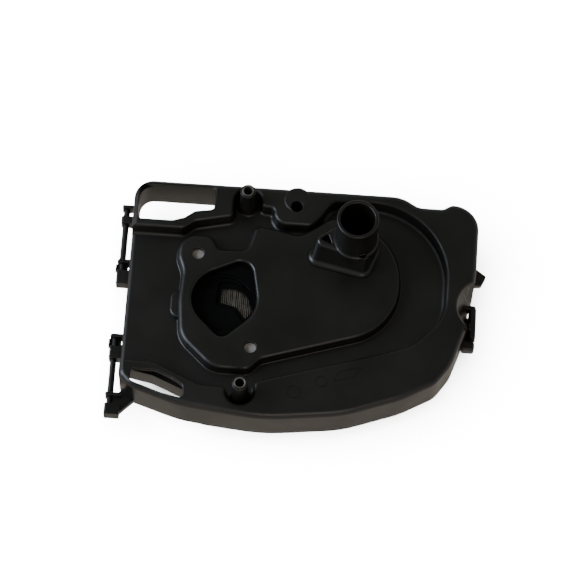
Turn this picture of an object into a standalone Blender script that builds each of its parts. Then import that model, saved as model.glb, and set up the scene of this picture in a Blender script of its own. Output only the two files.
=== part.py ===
"""Air filter housing of a small engine: moulded base, breather spigot, panel filter, hinged cover and latch.

Sizes are in millimetres and become metres in the mesh. X runs from the hinge side to the latch side, Y
away from the flat-fronted side, Z up. The carburettor side faces up and the cover hangs underneath.
"""

import math

import bpy
import numpy as np
from mathutils import Matrix

# Overall sizes
LENGTH = 163.0
DEPTH = 116.0
RIM_HEIGHT = 21.0
COVER_DEPTH = 15.0

# Base moulding
WALL = 2.2
PLATE = 2.2
TOP_ROUND = 3.0
EDGE_ROUND = 1.4
RECESS_DROP = 8.0
PLATEAU_RISE = 6.0
STUD_HOLE = 5.7
LOCATOR_HOLE = 5.6
SCOOP_RADIUS = 13.0
SCOOP_LEAN = 6.0

# Screw bosses and their sleeves
BOSS_FOOT = 8.2
BOSS_MOUTH = 7.2
BOSS_HEIGHT = 18.0
SLEEVE_OUT = 5.5
SLEEVE_BORE = 4.1

# Breather spigot
SPIGOT_OUT = 19.4
SPIGOT_BORE = 16.0
SPIGOT_HEIGHT = 33.0
SPIGOT_TURN = -12.0
FOOT_LONG = 27.0
FOOT_FRONT = 2.6
FOOT_LEAN = 4.6
FOOT_TALL = 12.0
FOOT_FLARE = 1.8
FOOT_SINK = 0.5
NECK_OUT = 14.8
NECK_BORE = 12.0
SEAL_WIDE = 1.3

# Filter stack
FRAME_WIDE = 5.0
FRAME_LIFT = 2.1
PLEAT_PITCH = 4.2
PLEAT_THICK = 0.8
SCREEN_THICK = 0.6
SCREEN_PITCH = 12.0
FOAM_THICK = 3.4
GRID_THICK = 1.0
GRID_PITCH = 17.0

# Hinge and latch
PIN = 3.0
PIN_OUT = 3.8
PIN_UP = 3.5
LUG_REACH = 6.0
HOOK_PLAY = 0.3
HOOK_WALL = 1.2
LATCH_PIN = 1.6
LATCH_UP = 4.6
LATCH_WALL = 0.7
SPRING_WIRE = 0.5

GAP = 0.3
FIT = 0.12
MM = 0.001

KX = LENGTH / 163.0
KY = DEPTH / 116.0
TOP = RIM_HEIGHT
RECESS = TOP - RECESS_DROP
PLATEAU = RECESS + PLATEAU_RISE
FLOOR_UNDER = RECESS - PLATE
FLANGE_TOP = -1.7
FLANGE_UNDER = -3.4

STUDS = {"rear": (32.1, -35.9), "front": (59.6, -81.4)}
THROAT = (45.9, -57.5)
THROAT_RADIUS = 15.0
BOSSES = {"rear": (53.6, -7.9), "front": (56.4, -104.2)}
SPIGOT = (105.3, -28.0)
LOCATOR = (76.8, -9.5)
SCOOP_MIDDLE = -53.5
# Each hinge loop is a list of the lugs that hold its bar; one of the cover's hooks sits between the named two
HINGE_LUGS = {
    "rear": ((-8.0, -9.6), (-13.8, -17.4), (-36.2, -37.8), (-41.6, -48.6)),
    "front": ((-74.2, -75.8), (-80.3, -86.4), (-103.4, -105.0), (-108.8, -114.4)),
}
HOOKED_LUGS = {"rear": (2, 3), "front": (0, 1)}
LATCH_X = LENGTH - 0.7
LATCH_SPAN = (-50.4, -65.4)
EARS = ((-48.2, -50.0), (-65.8, -70.6))

# Corner lists: x, y, corner radius, at the nominal 162 by 116 size
OUTLINE = (
    (0, 0, 9), (126, 0, 16), (134, -4.9, 9), (145.6, -4.9, 4), (149.6, -2.4, 4), (163, -3.4, 12.4),
    (162.6, -37, 20), (160, -62, 30), (153, -83.8, 22), (146, -93.8, 12),
    (130.2, -102.8, 40), (104, -112.4, 60), (67, -116.9, 90), (29, -112.6, 60), (5.5, -105, 10),
    (0, -99.5, 5),
)
PLATEAU_EDGE = (
    (22.6, -25.9, 8.5), (38.4, -25.9, 6), (41.5, -32.8, 3), (54.6, -32.2, 4), (57.8, -19.2, 3.4),
    (70, -20.9, 10), (79.5, -23, 8), (93, -13, 8), (127.4, -13, 30.8), (127.4, -67.1, 29),
    (64.5, -87.2, 6), (59.5, -92.9, 6), (42, -92.7, 13), (26.2, -78, 14), (24.4, -60, 40),
    (25.3, -45, 12), (22.6, -38, 8),
)
RIB_EDGE = ((20.8, -53.6, 4.5), (27, -53.6, 1.5), (27, -67.8, 1.5), (20.8, -67.8, 4.5))
PLENUM_EDGE = (
    (26.4, -30, 7), (36.6, -30, 4), (40.4, -34.6, 3), (56, -34.6, 3), (62, -27, 4), (80, -26.5, 6),
    (93, -16, 6), (125, -15.4, 28.6), (125, -65.4, 27), (63.5, -84.8, 5), (58.4, -90, 5),
    (43, -89.8, 12), (28.5, -76.5, 12), (26.4, -58, 40),
)
FILTER_EDGE = (
    (9, -27, 6), (60, -21.4, 30), (92, -9, 20), (143.4, -8.6, 33), (143.4, -62, 26), (128, -76, 20),
    (62, -95, 12), (40, -93, 14), (9, -76, 10),
)
WINDOWS = (
    ((2.4, -2.2, 3), (38, -2.2, 1.5), (38, -13.6, 2), (29, -15.1, 3), (24.4, -18.6, 4), (19, -20.5, 3),
     (2.4, -20.5, 2)),
    ((5.6, -96.6, 1.5), (17, -96.6, 4), (24.5, -99.4, 4), (30, -103.2, 2), (30.4, -109.4, 1.5),
     (20, -107.2, 20), (5.6, -102.2, 2)),
)
# Inner wall between the front window and the filter, and the opening through the horn's baffle
PARTITION = (
    (2, -91.6, 0.5), (16, -94.2, 6), (27.4, -99.0, 6), (37.6, -103.4, 0.5), (37, -104.8, 0.5),
    (26.8, -100.6, 7),
    (15.4, -95.8, 7), (2, -93.2, 0.5),
)
BAFFLE_WINDOW = (
    (44.5, -48.9, 0.8), (50.6, -48.9, 7), (56.4, -52.6, 7), (59.3, -60.3, 0.8), (56.2, -64.6, 0.8),
    (51.8, -58.8, 6), (44.0, -57.0, 0.8),
)
# Corners of the cover: flange x, y, radius, then the same corner at the cover's foot
COVER_EDGE = (
    (1, -14, 5, 2.6, -16), (41, -14, 3, 43, -17.6), (41, -0.8, 5, 43, -3.4), (126, -0.8, 14, 125, -3.4),
    (135, -6.4, 9, 133, -8.6), (159.6, -6.2, 13, 152, -9), (158.2, -60, 25, 150.6, -57),
    (143.4, -91.6, 14, 136, -85), (103.6, -110.8, 50, 101, -102), (67, -115.6, 80, 66, -106.6),
    (36, -112.6, 5, 38, -104.6), (36, -98, 3, 38, -96.4), (1, -82.5, 5, 2.6, -81),
)

COLOURS = {
    "black_nylon": (0.012, 0.012, 0.014, 1.0),
    "seal_rubber": (0.02, 0.02, 0.02, 1.0),
    "zinc_steel": (0.45, 0.45, 0.44, 1.0),
    "filter_paper": (0.62, 0.52, 0.33, 1.0),
    "filter_urethane": (0.16, 0.15, 0.13, 1.0),
    "grey_foam": (0.09, 0.09, 0.10, 1.0),
    "pale_foam": (0.62, 0.60, 0.56, 1.0),
}


def recess_edge(left):
    """Corners of the recess floor, whose left side lies at the given x."""
    return (
        (left, -24.4, 0), (24, -24.4, 4), (29.4, -20.4, 4), (47.2, -16.4, 2.5), (47.5, -2.3, 5.9),
        (59.8, -2.3, 5.9), (60.2, -10.8, 2.2), (66, -10.8, 1.6), (66.4, -18.8, 6.2), (85.4, -18.8, 6),
        (93.5, -5.6, 8), (149, -4.0, 37.2), (148.6, -61, 24), (133.6, -76.4, 20), (107, -85, 100),
        (62.8, -98.8, 2), (62.6, -110.2, 5.8), (50.4, -110.2, 5.8), (49.9, -102.4, 2), (38, -102.2, 12),
        (27, -97.5, 10), (16, -92.3, 10), (left, -92, 0),
    )


def at(x, y):
    return (x * KX, y * KY)


def rounded(corners, even=0):
    """Points of a polygon whose corners carry radii, anticlockwise; even sets one count for every corner."""
    corners = [tuple(float(v) for v in corner) for corner in corners]
    count = len(corners)
    points = []
    for index, (x, y, radius) in enumerate(corners):
        here = np.array((x, y))
        if radius == 0:
            points.append(here)
            continue
        before = np.array(corners[index - 1][:2]) - here
        after = np.array(corners[(index + 1) % count][:2]) - here
        before /= np.linalg.norm(before)
        after /= np.linalg.norm(after)
        opening = math.acos(float(np.clip(before @ after, -1, 1)))
        reach = radius / math.tan(opening / 2)
        middle = here + (before + after) / np.linalg.norm(before + after) * radius / math.sin(opening / 2)
        first = here + before * reach - middle
        last = here + after * reach - middle
        start = math.atan2(first[1], first[0])
        sweep = (math.atan2(last[1], last[0]) - start + math.pi) % (2 * math.pi) - math.pi
        fine = 9 if radius > 8 else 15
        pieces = even or max(2, math.ceil(abs(math.degrees(sweep)) / fine))
        for step in range(pieces + 1):
            angle = start + sweep * step / pieces
            points.append(middle + radius * np.array((math.cos(angle), math.sin(angle))))
    points = np.array(points) * (KX, KY)
    return points if area(points) > 0 else points[::-1]


def area(points):
    x, y = points[:, 0], points[:, 1]
    return float((x * np.roll(y, -1) - y * np.roll(x, -1)).sum() / 2)


def grow(points, distance):
    """The polygon moved outwards by the distance."""
    forward = np.roll(points, -1, axis=0) - points
    forward /= np.linalg.norm(forward, axis=1)[:, None]
    normal = np.stack((forward[:, 1], -forward[:, 0]), axis=1)
    mean = normal + np.roll(normal, 1, axis=0)
    return points + distance * mean * 2 / (mean ** 2).sum(axis=1)[:, None]


def circle(centre, radius, count=32):
    turn = np.arange(count) * 2 * math.pi / count
    return np.stack((centre[0] + radius * np.cos(turn), centre[1] + radius * np.sin(turn)), axis=1)


def hull(circles, count=48):
    """Convex outline round a set of circles given as x, y, radius."""
    cloud = np.concatenate([circle((x, y), radius, count) for x, y, radius in circles])
    cloud = cloud[np.lexsort((cloud[:, 1], cloud[:, 0]))]

    def chain(points):
        kept = []
        for point in points:
            while len(kept) > 1 and np.cross(kept[-1] - kept[-2], point - kept[-2]) <= 1e-9:
                kept.pop()
            kept.append(point)
        return kept[:-1]

    return np.array(chain(cloud) + chain(cloud[::-1]))


def solid(name, points, faces):
    mesh = bpy.data.meshes.new(name)
    mesh.from_pydata([tuple(np.array(point) * MM) for point in points], [], faces)
    mesh.validate()
    mesh.update()
    made = bpy.data.objects.new(name, mesh)
    bpy.context.scene.collection.objects.link(made)
    return made


def loft(name, rings):
    """Closed body through rings of (points, z), listed upwards."""
    count = len(rings[0][0])
    points = [(x, y, z) for ring, z in rings for x, y in ring]
    faces = [tuple(range(count))[::-1], tuple(range((len(rings) - 1) * count, len(rings) * count))]
    for level in range(len(rings) - 1):
        low = level * count
        high = low + count
        for index in range(count):
            after = (index + 1) % count
            faces.append((low + index, low + after, high + after, high + index))
    return solid(name, points, faces)


def block(name, points, low, high, top=0.0, flare=0.0, pieces=3):
    """Upright block, with its top edge rounded by top, or its mouth flared by flare for a cutter."""
    rings = [(points, low)]
    if top:
        for step in range(pieces + 1):
            turn = math.pi / 2 * step / pieces
            rings.append((grow(points, -top * (1 - math.cos(turn))), high - top * (1 - math.sin(turn))))
    elif flare:
        for step in range(pieces + 1):
            turn = math.pi / 2 * step / pieces
            rings.append((grow(points, flare * (1 - math.cos(turn))), high - flare * (1 - math.sin(turn))))
        rings.append((grow(points, flare + 0.01), high + 4))
    else:
        rings.append((points, high))
    return loft(name, rings)


def turned(name, centre, profile, count=40):
    """Solid of revolution about an upright axis; the profile is a closed loop of (radius, z)."""
    points = []
    for index in range(count):
        turn = 2 * math.pi * index / count
        points += [(centre[0] + r * math.cos(turn), centre[1] + r * math.sin(turn), z) for r, z in profile]
    size = len(profile)
    faces = []
    for index in range(count):
        here = index * size
        there = (index + 1) % count * size
        for step in range(size):
            after = (step + 1) % size
            faces.append((here + step, there + step, there + after, here + after))
    made = solid(name, points, faces)
    return made if volume(made) > 0 else turned_over(made)


def prism(name, outline, near, far):
    """Prism along Y from an outline of (x, z) points."""
    outline = np.array(outline, float)
    if area(outline) > 0:
        outline = outline[::-1]
    count = len(outline)
    low, high = sorted((near, far))
    points = [(x, low, z) for x, z in outline] + [(x, high, z) for x, z in outline]
    faces = [tuple(range(count))[::-1], tuple(range(count, 2 * count))]
    for index in range(count):
        after = (index + 1) % count
        faces.append((index, after, count + after, count + index))
    made = solid(name, points, faces)
    return made if volume(made) > 0 else turned_over(made)


def volume(made):
    made.data.calc_loop_triangles()
    points = np.array([vertex.co for vertex in made.data.vertices])
    corners = points[[tuple(triangle.vertices) for triangle in made.data.loop_triangles]]
    return float(np.linalg.det(corners).sum())


def turned_over(made):
    made.data.flip_normals()
    return made


def boolean(target, tool, operation):
    modifier = target.modifiers.new("boolean", "BOOLEAN")
    modifier.operation = operation
    modifier.solver = "EXACT"
    modifier.object = tool
    graph = bpy.context.evaluated_depsgraph_get()
    mesh = bpy.data.meshes.new_from_object(target.evaluated_get(graph))
    target.modifiers.clear()
    target.data = mesh
    bpy.data.objects.remove(tool)
    return target


def cut(target, tool):
    return boolean(target, tool, "DIFFERENCE")


def join(target, tool):
    return boolean(target, tool, "UNION")


def bored(target, centre, radius, low, high, count=32):
    return cut(target, block("bore", circle(centre, radius, count), low, high))


def ring_of(name, outside, inside, low, high):
    """Flat-sided frame between two outlines with the same number of points."""
    count = len(outside)
    points = [(x, y, z) for ring, z in ((outside, low), (outside, high), (inside, high), (inside, low))
              for x, y in ring]
    faces = []
    for level in range(4):
        low_row = level * count
        high_row = (level + 1) % 4 * count
        for index in range(count):
            after = (index + 1) % count
            faces.append((low_row + index, low_row + after, high_row + after, high_row + index))
    return solid(name, points, faces)


def bar(name, x, z, radius, near, far, count=20):
    turn = np.arange(count) * 2 * math.pi / count
    return prism(name, np.stack((x + radius * np.cos(turn), z + radius * np.sin(turn)), axis=1), near, far)


def box(name, x0, x1, y0, y1, z0, z1):
    return block(name, np.array(((x0, y0), (x1, y0), (x1, y1), (x0, y1))), z0, z1)


def teardrop(extra=0.0):
    return hull([(*at(*THROAT), THROAT_RADIUS + extra), (*at(45.8, -72), 4.5 + extra),
                 (*at(52.5, -44.5), 6 + extra)])


def make_base():
    outline = rounded(OUTLINE)
    base = block("base_shell", outline, 0, TOP, top=TOP_ROUND, pieces=3)
    cut(base, block("hollow", grow(outline, -WALL), -1, TOP - PLATE))
    floor = grow(rounded(recess_edge(3.2)), 1.8)
    join(base, block("floor", floor, FLOOR_UNDER, TOP - 0.6))
    cut(base, block("recess", rounded(recess_edge(-6)), RECESS, TOP, flare=EDGE_ROUND))
    join(base, block("plateau", rounded(PLATEAU_EDGE), RECESS - 1, PLATEAU, top=EDGE_ROUND))
    join(base, block("rib", rounded(RIB_EDGE), RECESS - 1, RECESS + 3.2, top=1.2))
    cut(base, block("plenum", rounded(PLENUM_EDGE), FLOOR_UNDER - 1, PLATEAU - PLATE))
    round_left(base)
    make_scoop(base)
    seat_out = grow(rounded(FILTER_EDGE), 2.1)
    seat_in = grow(rounded(FILTER_EDGE), GAP)
    join(base, ring_of("seat", seat_out, seat_in, 1.0, FLOOR_UNDER + 0.8))
    join(base, block("partition", rounded(PARTITION), 0.6, FLOOR_UNDER + 0.9))
    cut(base, loft("throat", [(teardrop(), PLATEAU - PLATE - 1), (teardrop(), PLATEAU - 1.6),
                              (teardrop(0.3), PLATEAU - 0.75), (teardrop(0.9), PLATEAU - 0.2),
                              (teardrop(1.7), PLATEAU + 0.01), (teardrop(1.8), PLATEAU + 3)]))
    for stud in STUDS.values():
        bored(base, at(*stud), STUD_HOLE / 2, PLATEAU - PLATE - 1, PLATEAU + 1)
    cut(base, block("foot_seat", spigot_foot(FOOT_FLARE + 0.3), PLATEAU - FOOT_SINK, PLATEAU + 1))
    bored(base, at(*SPIGOT), NECK_OUT / 2 + GAP, PLATEAU - PLATE - 1, PLATEAU + 1)
    for index, window in enumerate(WINDOWS):
        cut(base, block("window", rounded(window), TOP - PLATE - 2, TOP, flare=0.5))
    for place in BOSSES.values():
        join(base, loft("boss", [(circle(at(*place), BOSS_FOOT / 2 + 1), RECESS - 0.5),
                                 (circle(at(*place), BOSS_FOOT / 2), RECESS + 1.2),
                                 (circle(at(*place), BOSS_MOUTH / 2), RECESS + BOSS_HEIGHT)]))
        bored(base, at(*place), SLEEVE_OUT / 2 + FIT, FLOOR_UNDER - 1, RECESS + BOSS_HEIGHT + 1)
    pad = circle(at(LOCATOR[0], -6.0), 6.6, 40)
    join(base, block("pad", pad, TOP - 6, TOP + 0.3, top=1.2))
    bored(base, at(*LOCATOR), LOCATOR_HOLE / 2, TOP - 8, TOP + 2)
    cut(base, block("mark", circle(at(81.2, -103), LOCATOR_HOLE / 2), TOP - 0.3, TOP + 1))
    for lugs in HINGE_LUGS.values():
        make_hinge_lugs(base, lugs)
    make_lugs(base)
    return base


def round_left(base):
    """Rounds the edge where the recess floor meets the left wall."""
    radius = 2.0
    profile = [(-1, RECESS - radius), (0, RECESS - radius)]
    for step in range(1, 5):
        turn = math.pi / 2 * step / 4
        profile.append((radius * (1 - math.cos(turn)), RECESS - radius * (1 - math.sin(turn))))
    profile += [(radius, RECESS + 0.6), (-1, RECESS + 0.6)]
    cut(base, prism("left_edge", profile, -25.8 * KY, -90.6 * KY))


def scoop_ring(radius, height, closing=None):
    """One level of the finger scoop; with closing, only the part inside that x."""
    middle = (LENGTH + 10.0 - SCOOP_LEAN * height / RIM_HEIGHT, SCOOP_MIDDLE * KY)
    if closing is None:
        return circle(middle, radius, 56)
    half = math.acos((middle[0] - closing) / radius)
    turn = np.linspace(math.pi - half, math.pi + half, 17)
    return np.stack((middle[0] + radius * np.cos(turn), middle[1] + radius * np.sin(turn)), axis=1)


def make_scoop(base):
    """Finger scoop in the latch side, with a wall of its own behind it."""
    closing = LENGTH - 3.6
    thick = SCOOP_RADIUS + WALL
    join(base, loft("backing", [(scoop_ring(thick, z, closing), z) for z in (0.6, TOP - 0.8)]))
    cut(base, loft("scoop", [(scoop_ring(SCOOP_RADIUS, z), z) for z in (-1.0, TOP + 1)]))


def make_hinge_lugs(base, lugs):
    """The lugs of one hinge loop, with blind holes in the outer two for the bar."""
    for near, far in lugs:
        profile = [(-LUG_REACH, 1.4), (-LUG_REACH + 0.8, 0.6), (WALL / 2, 0.6), (WALL / 2, 6.6), (-1.6, 7.2),
                   (-LUG_REACH + 1.0, 7.2), (-LUG_REACH, 6.2)]
        join(base, prism("hinge_lug", profile, near * KY, far * KY))
    if lugs[-1][1] < -100:
        low = lugs[-1][1] * KY
        tie = np.array(((-4.6, low), (-1.0, low), (7.6, -105.6 * KY), (1.4, -100.6 * KY), (-4.6, low + 5.6)))
        join(base, block("tie", tie, 0.9, 4.2))
    low, high = bar_span(lugs)
    cut(base, bar("pin_hole", -PIN_OUT, PIN_UP, PIN / 2 + FIT, low - FIT, high + FIT))


def bar_span(lugs):
    """Ends of a hinge bar, inside its outer two lugs."""
    return lugs[-1][1] * KY + 1.2, lugs[0][0] * KY - 0.6


def make_lugs(base):
    """The locating lug and the two ears that hold the latch pin."""
    edge = LENGTH - 2.0
    lug = np.array(((edge, -28.0 * KY), (edge, -36.8 * KY), (LENGTH + 3.0, -36.4 * KY),
                    (LENGTH + 5.2, -31.4 * KY), (LENGTH + 0.6, -28.2 * KY)))
    join(base, block("lug", lug, 0.6, 4.2))
    for near, far in EARS:
        profile = [(LENGTH - 5.0, 1.0), (LATCH_X + 0.8, 1.0), (LATCH_X + 1.6, 2.0), (LATCH_X + 1.6, 5.8),
                   (LATCH_X + 0.4, 6.8), (LENGTH - 5.0, 6.8)]
        join(base, prism("ear", profile, near * KY, far * KY))
    cut(base, bar("latch_hole", LATCH_X, LATCH_UP, LATCH_PIN / 2 + FIT, -48.9 * KY, -69.4 * KY, 16))


def spigot_turn(points):
    """Local points of the spigot, turned and placed on its axis."""
    turn = math.radians(SPIGOT_TURN)
    matrix = np.array(((math.cos(turn), math.sin(turn)), (-math.sin(turn), math.cos(turn))))
    return np.array(points) @ matrix + np.array(at(*SPIGOT))


def spigot_foot(extra, lean=0.0):
    """Outline of the spigot's foot grown by extra: a belt round two leaning front corners and the tube."""
    corner = 3.0
    right = SPIGOT_OUT / 2 - 1.2 - corner
    front = -SPIGOT_OUT / 2 - FOOT_FRONT + corner
    spots = [
        (right + 2 * corner - FOOT_LONG + 0.25 * lean, front + lean, corner + extra),
        (right, front + 0.7 * lean, corner + extra),
        (0.0, 0.0, SPIGOT_OUT / 2 + 0.1 + extra),
    ]
    ways = []
    for index, (x, y, radius) in enumerate(spots):
        after = spots[(index + 1) % 3]
        run = (after[0] - x, after[1] - y)
        ways.append(math.atan2(run[1], run[0]) - math.acos((radius - after[2]) / math.hypot(*run)))
    points = []
    for index, (x, y, radius) in enumerate(spots):
        sweep = (ways[index] - ways[index - 1]) % (2 * math.pi)
        for step in range(9):
            way = ways[index - 1] + sweep * step / 8
            points.append((x + radius * math.cos(way), y + radius * math.sin(way)))
    return spigot_turn(points)


def make_spigot():
    centre = np.array(at(*SPIGOT))
    base = PLATEAU - FOOT_SINK + FIT
    top = base + FOOT_TALL
    rings = [(spigot_foot(FOOT_FLARE), base), (spigot_foot(FOOT_FLARE), base + 0.8)]
    for step in range(1, 5):
        way = math.pi / 2 * step / 4
        rings.append((spigot_foot(FOOT_FLARE * (1 - math.sin(way)), FOOT_LEAN * 0.05 * step),
                      base + 0.8 + 2.6 * (1 - math.cos(way))))
    rings.append((spigot_foot(-0.1, FOOT_LEAN * 0.85), top - 1.6))
    rings.append((spigot_foot(-0.5, FOOT_LEAN * 0.94), top - 0.5))
    rings.append((spigot_foot(-1.3, FOOT_LEAN), top))
    spigot = loft("breather_spigot", rings)
    radius = SPIGOT_OUT / 2
    mouth = PLATEAU + SPIGOT_HEIGHT
    steps = ((0.9, top - 6), (0.9, top), (0, top + 1.6), (0, mouth - 0.5), (-0.5, mouth))
    join(spigot, loft("tube", [(circle(centre, radius + extra, 40), height) for extra, height in steps]))
    pocket = spigot_turn(((-radius - 5.6, -4.9), (-radius - 0.8, -5.9), (-radius - 3.2, -2.3)))
    cut(spigot, block("pocket", pocket if area(pocket) > 0 else pocket[::-1], top - 5, top + 1))
    neck_foot = PLATEAU - PLATE - 1.2
    join(spigot, block("neck", circle(centre, NECK_OUT / 2, 40), neck_foot, base + 1))
    seal_out = NECK_OUT / 2 + SEAL_WIDE
    recess = [(NECK_OUT / 2, base - 0.5), (seal_out + 0.2, base - 0.5), (seal_out + 0.2, base + 1.4),
              (NECK_OUT / 2, base + 1.4)]
    cut(spigot, turned("seal_seat", centre, recess))
    cut(spigot, loft("bore", [(circle(centre, NECK_BORE / 2, 40), neck_foot - 1),
                              (circle(centre, NECK_BORE / 2, 40), base + 2),
                              (circle(centre, SPIGOT_BORE / 2, 40), base + 5),
                              (circle(centre, SPIGOT_BORE / 2, 40), mouth + 1)]))
    seal = [(NECK_OUT / 2 + FIT, base + 0.05), (seal_out, base + 0.05), (seal_out, base + 1.25),
            (NECK_OUT / 2 + FIT, base + 1.25)]
    turned("breather_seal", centre, seal)


def make_horn():
    """Deep intake horn under the throat with its baffle, the flat seal above it, and the stud seals."""
    under = PLATEAU - PLATE
    low = FLOOR_UNDER - 0.9
    horn = block("intake_horn", teardrop(3.0), under - 2.4, under - 1.1)
    join(horn, block("barrel", teardrop(1.5), low, under - 1.7))
    cut(horn, loft("well", [(teardrop(-0.5), low + 1.3), (teardrop(0.0), under + 1)]))
    cut(horn, block("baffle_window", rounded(BAFFLE_WINDOW), low - 1, low + 3))
    seal = block("horn_seal", teardrop(2.8), under - 0.9, under - 0.2)
    cut(seal, block("opening", teardrop(0.4), under - 2, under + 1))
    for name, place in STUDS.items():
        block("stud_seal_" + name, circle(at(*place), STUD_HOLE / 2 + 1.0), under - 1.7, under - 0.2)


def make_sleeves():
    for name, place in BOSSES.items():
        low = FLOOR_UNDER
        high = RECESS + BOSS_HEIGHT + 0.4
        profile = [(SLEEVE_BORE / 2, low), (SLEEVE_OUT / 2, low), (SLEEVE_OUT / 2, high - 0.15),
                   (SLEEVE_OUT / 2 - 0.15, high), (SLEEVE_BORE / 2 + 0.15, high),
                   (SLEEVE_BORE / 2, high - 0.15)]
        turned("screw_sleeve_" + name, at(*place), profile, 32)


def span_at(points, x):
    """Lowest and highest y where an outline crosses the upright line at x."""
    after = np.roll(points, -1, axis=0)
    crossing = (points[:, 0] - x) * (after[:, 0] - x) < 0
    a, b = points[crossing], after[crossing]
    y = a[:, 1] + (b[:, 1] - a[:, 1]) * (x - a[:, 0]) / (b[:, 0] - a[:, 0])
    return y.min(), y.max()


def inside(points, x, y):
    low, high = span_at(points, x) if points[:, 0].min() < x < points[:, 0].max() else (1, 0)
    return low < y < high


def lattice(name, outline, low, high, pitch, bar_wide):
    """Plate with square openings wherever a whole opening fits inside its border."""
    plate = block(name, outline, low, high)
    border = grow(outline, -bar_wide * 1.5)
    half = (pitch - bar_wide) / 2
    points = []
    faces = []
    for x in np.arange(outline[:, 0].min() + pitch * 0.7, outline[:, 0].max(), pitch):
        for y in np.arange(outline[:, 1].min() + pitch * 0.7, outline[:, 1].max(), pitch):
            corners = [(x + i * half, y + j * half) for i, j in ((-1, -1), (1, -1), (1, 1), (-1, 1))]
            if not all(inside(border, *corner) for corner in corners):
                continue
            first = len(points)
            points += [(*corner, low - 1) for corner in corners] + [(*corner, high + 1) for corner in corners]
            faces += [tuple(first + i for i in face) for face in
                      ((3, 2, 1, 0), (4, 5, 6, 7), (0, 1, 5, 4), (1, 2, 6, 5), (2, 3, 7, 6), (3, 0, 4, 7))]
    return cut(plate, solid("openings", points, faces))


def make_filter():
    outer = rounded(FILTER_EDGE)
    inner = grow(outer, -FRAME_WIDE)
    loose = grow(inner, -GAP)
    top = FLOOR_UNDER - GAP
    low = -COVER_DEPTH + FRAME_LIFT
    ring_of("filter_seal_frame", outer, inner, low, top)
    lattice("filter_screen", loose, top - 1.4 - SCREEN_THICK, top - 1.4, SCREEN_PITCH, 2.0)
    lattice("prefilter_grid", loose, low, low + GRID_THICK, GRID_PITCH, 3.0)
    foam_low = low + GRID_THICK + GAP
    block("foam_prefilter", loose, foam_low, foam_low + FOAM_THICK)
    make_pleats(loose, foam_low + FOAM_THICK + GAP, top - 1.4 - SCREEN_THICK - GAP)


def make_pleats(loose, low, high):
    """Zigzag paper pack that fills the frame."""
    left = loose[:, 0].min() + 1.0
    right = loose[:, 0].max() - 1.0
    count = 2 * round((right - left) / PLEAT_PITCH)
    lean = PLEAT_THICK * math.hypot((right - left) / count, high - low - PLEAT_THICK) * count / (right - left)
    tall = min(lean, (high - low) / 3)
    points = []
    for index, x in enumerate(np.linspace(left, right, count + 1)):
        near, far = span_at(loose, x)
        z = low if index % 2 else high - tall
        points += [(x, near, z), (x, far, z), (x, far, z + tall), (x, near, z + tall)]
    faces = [(3, 2, 1, 0), tuple(4 * count + i for i in range(4))]
    for index in range(count):
        here = 4 * index
        faces += [(here + i, here + (i + 1) % 4, here + 4 + (i + 1) % 4, here + 4 + i) for i in range(4)]
    pleats = solid("filter_pleats", points, faces)
    if volume(pleats) < 0:
        turned_over(pleats)


def make_bars():
    for name, lugs in HINGE_LUGS.items():
        bar("hinge_bar_" + name, -PIN_OUT, PIN_UP, PIN / 2, *bar_span(lugs), 24)


def cover_ring(blend, extra=0.0):
    """The cover's outline between its flange (0) and its foot (1)."""
    flange = [(x, y, r) for x, y, r, _, _ in COVER_EDGE]
    foot = [(x, y, r) for _, _, r, x, y in COVER_EDGE]
    return grow(rounded(flange, 5) * (1 - blend) + rounded(foot, 5) * blend, extra)


def make_cover():
    low = -COVER_DEPTH
    rings = [(cover_ring(1, -1.2), low), (cover_ring(1, -0.35), low + 0.35), (cover_ring(1), low + 1.2),
             (cover_ring(0, -0.6), FLANGE_UNDER), (cover_ring(0), FLANGE_UNDER + 0.3),
             (cover_ring(0), FLANGE_TOP)]
    cover = loft("cover_shell", rings)
    cut(cover, loft("dome", [(cover_ring(1, -2.2), low + 1.8), (cover_ring(0, -2.9), FLANGE_UNDER),
                             (cover_ring(0, -2.9), FLANGE_TOP + 2)]))
    for name, lugs in HINGE_LUGS.items():
        first, second = HOOKED_LUGS[name]
        make_hook(cover, lugs[first][1] * KY - HOOK_PLAY, lugs[second][0] * KY + HOOK_PLAY)
    ring_of("cover_gasket", cover_ring(0, -0.7), cover_ring(0, -2.1), FLANGE_TOP + 0.05, -GAP)


def make_hook(cover, high, low):
    """Open hook, moulded on the cover, that turns on a hinge bar between two lugs."""
    hollow = PIN / 2 + GAP
    outer = hollow + HOOK_WALL
    turn = np.radians(np.linspace(150, 360, 15))
    way = np.radians(np.linspace(360, 150, 15))
    profile = [(-PIN_OUT + outer * math.cos(a), PIN_UP + outer * math.sin(a)) for a in turn]
    profile += [(-PIN_OUT + hollow * math.cos(a), PIN_UP + hollow * math.sin(a)) for a in way]
    join(cover, prism("hook", profile, low, high))
    left = -PIN_OUT - 0.9
    right = -PIN_OUT + 2.1
    arm = [(left, FLANGE_UNDER + 0.7), (left + 1, FLANGE_UNDER + 0.2), (2.4, FLANGE_UNDER + 0.2),
           (2.4, FLANGE_TOP - 0.2), (right, FLANGE_TOP - 0.2), (right, PIN_UP - hollow - 0.5),
           (left, PIN_UP - hollow - 0.5)]
    join(cover, prism("arm", arm, low, high))


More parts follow.
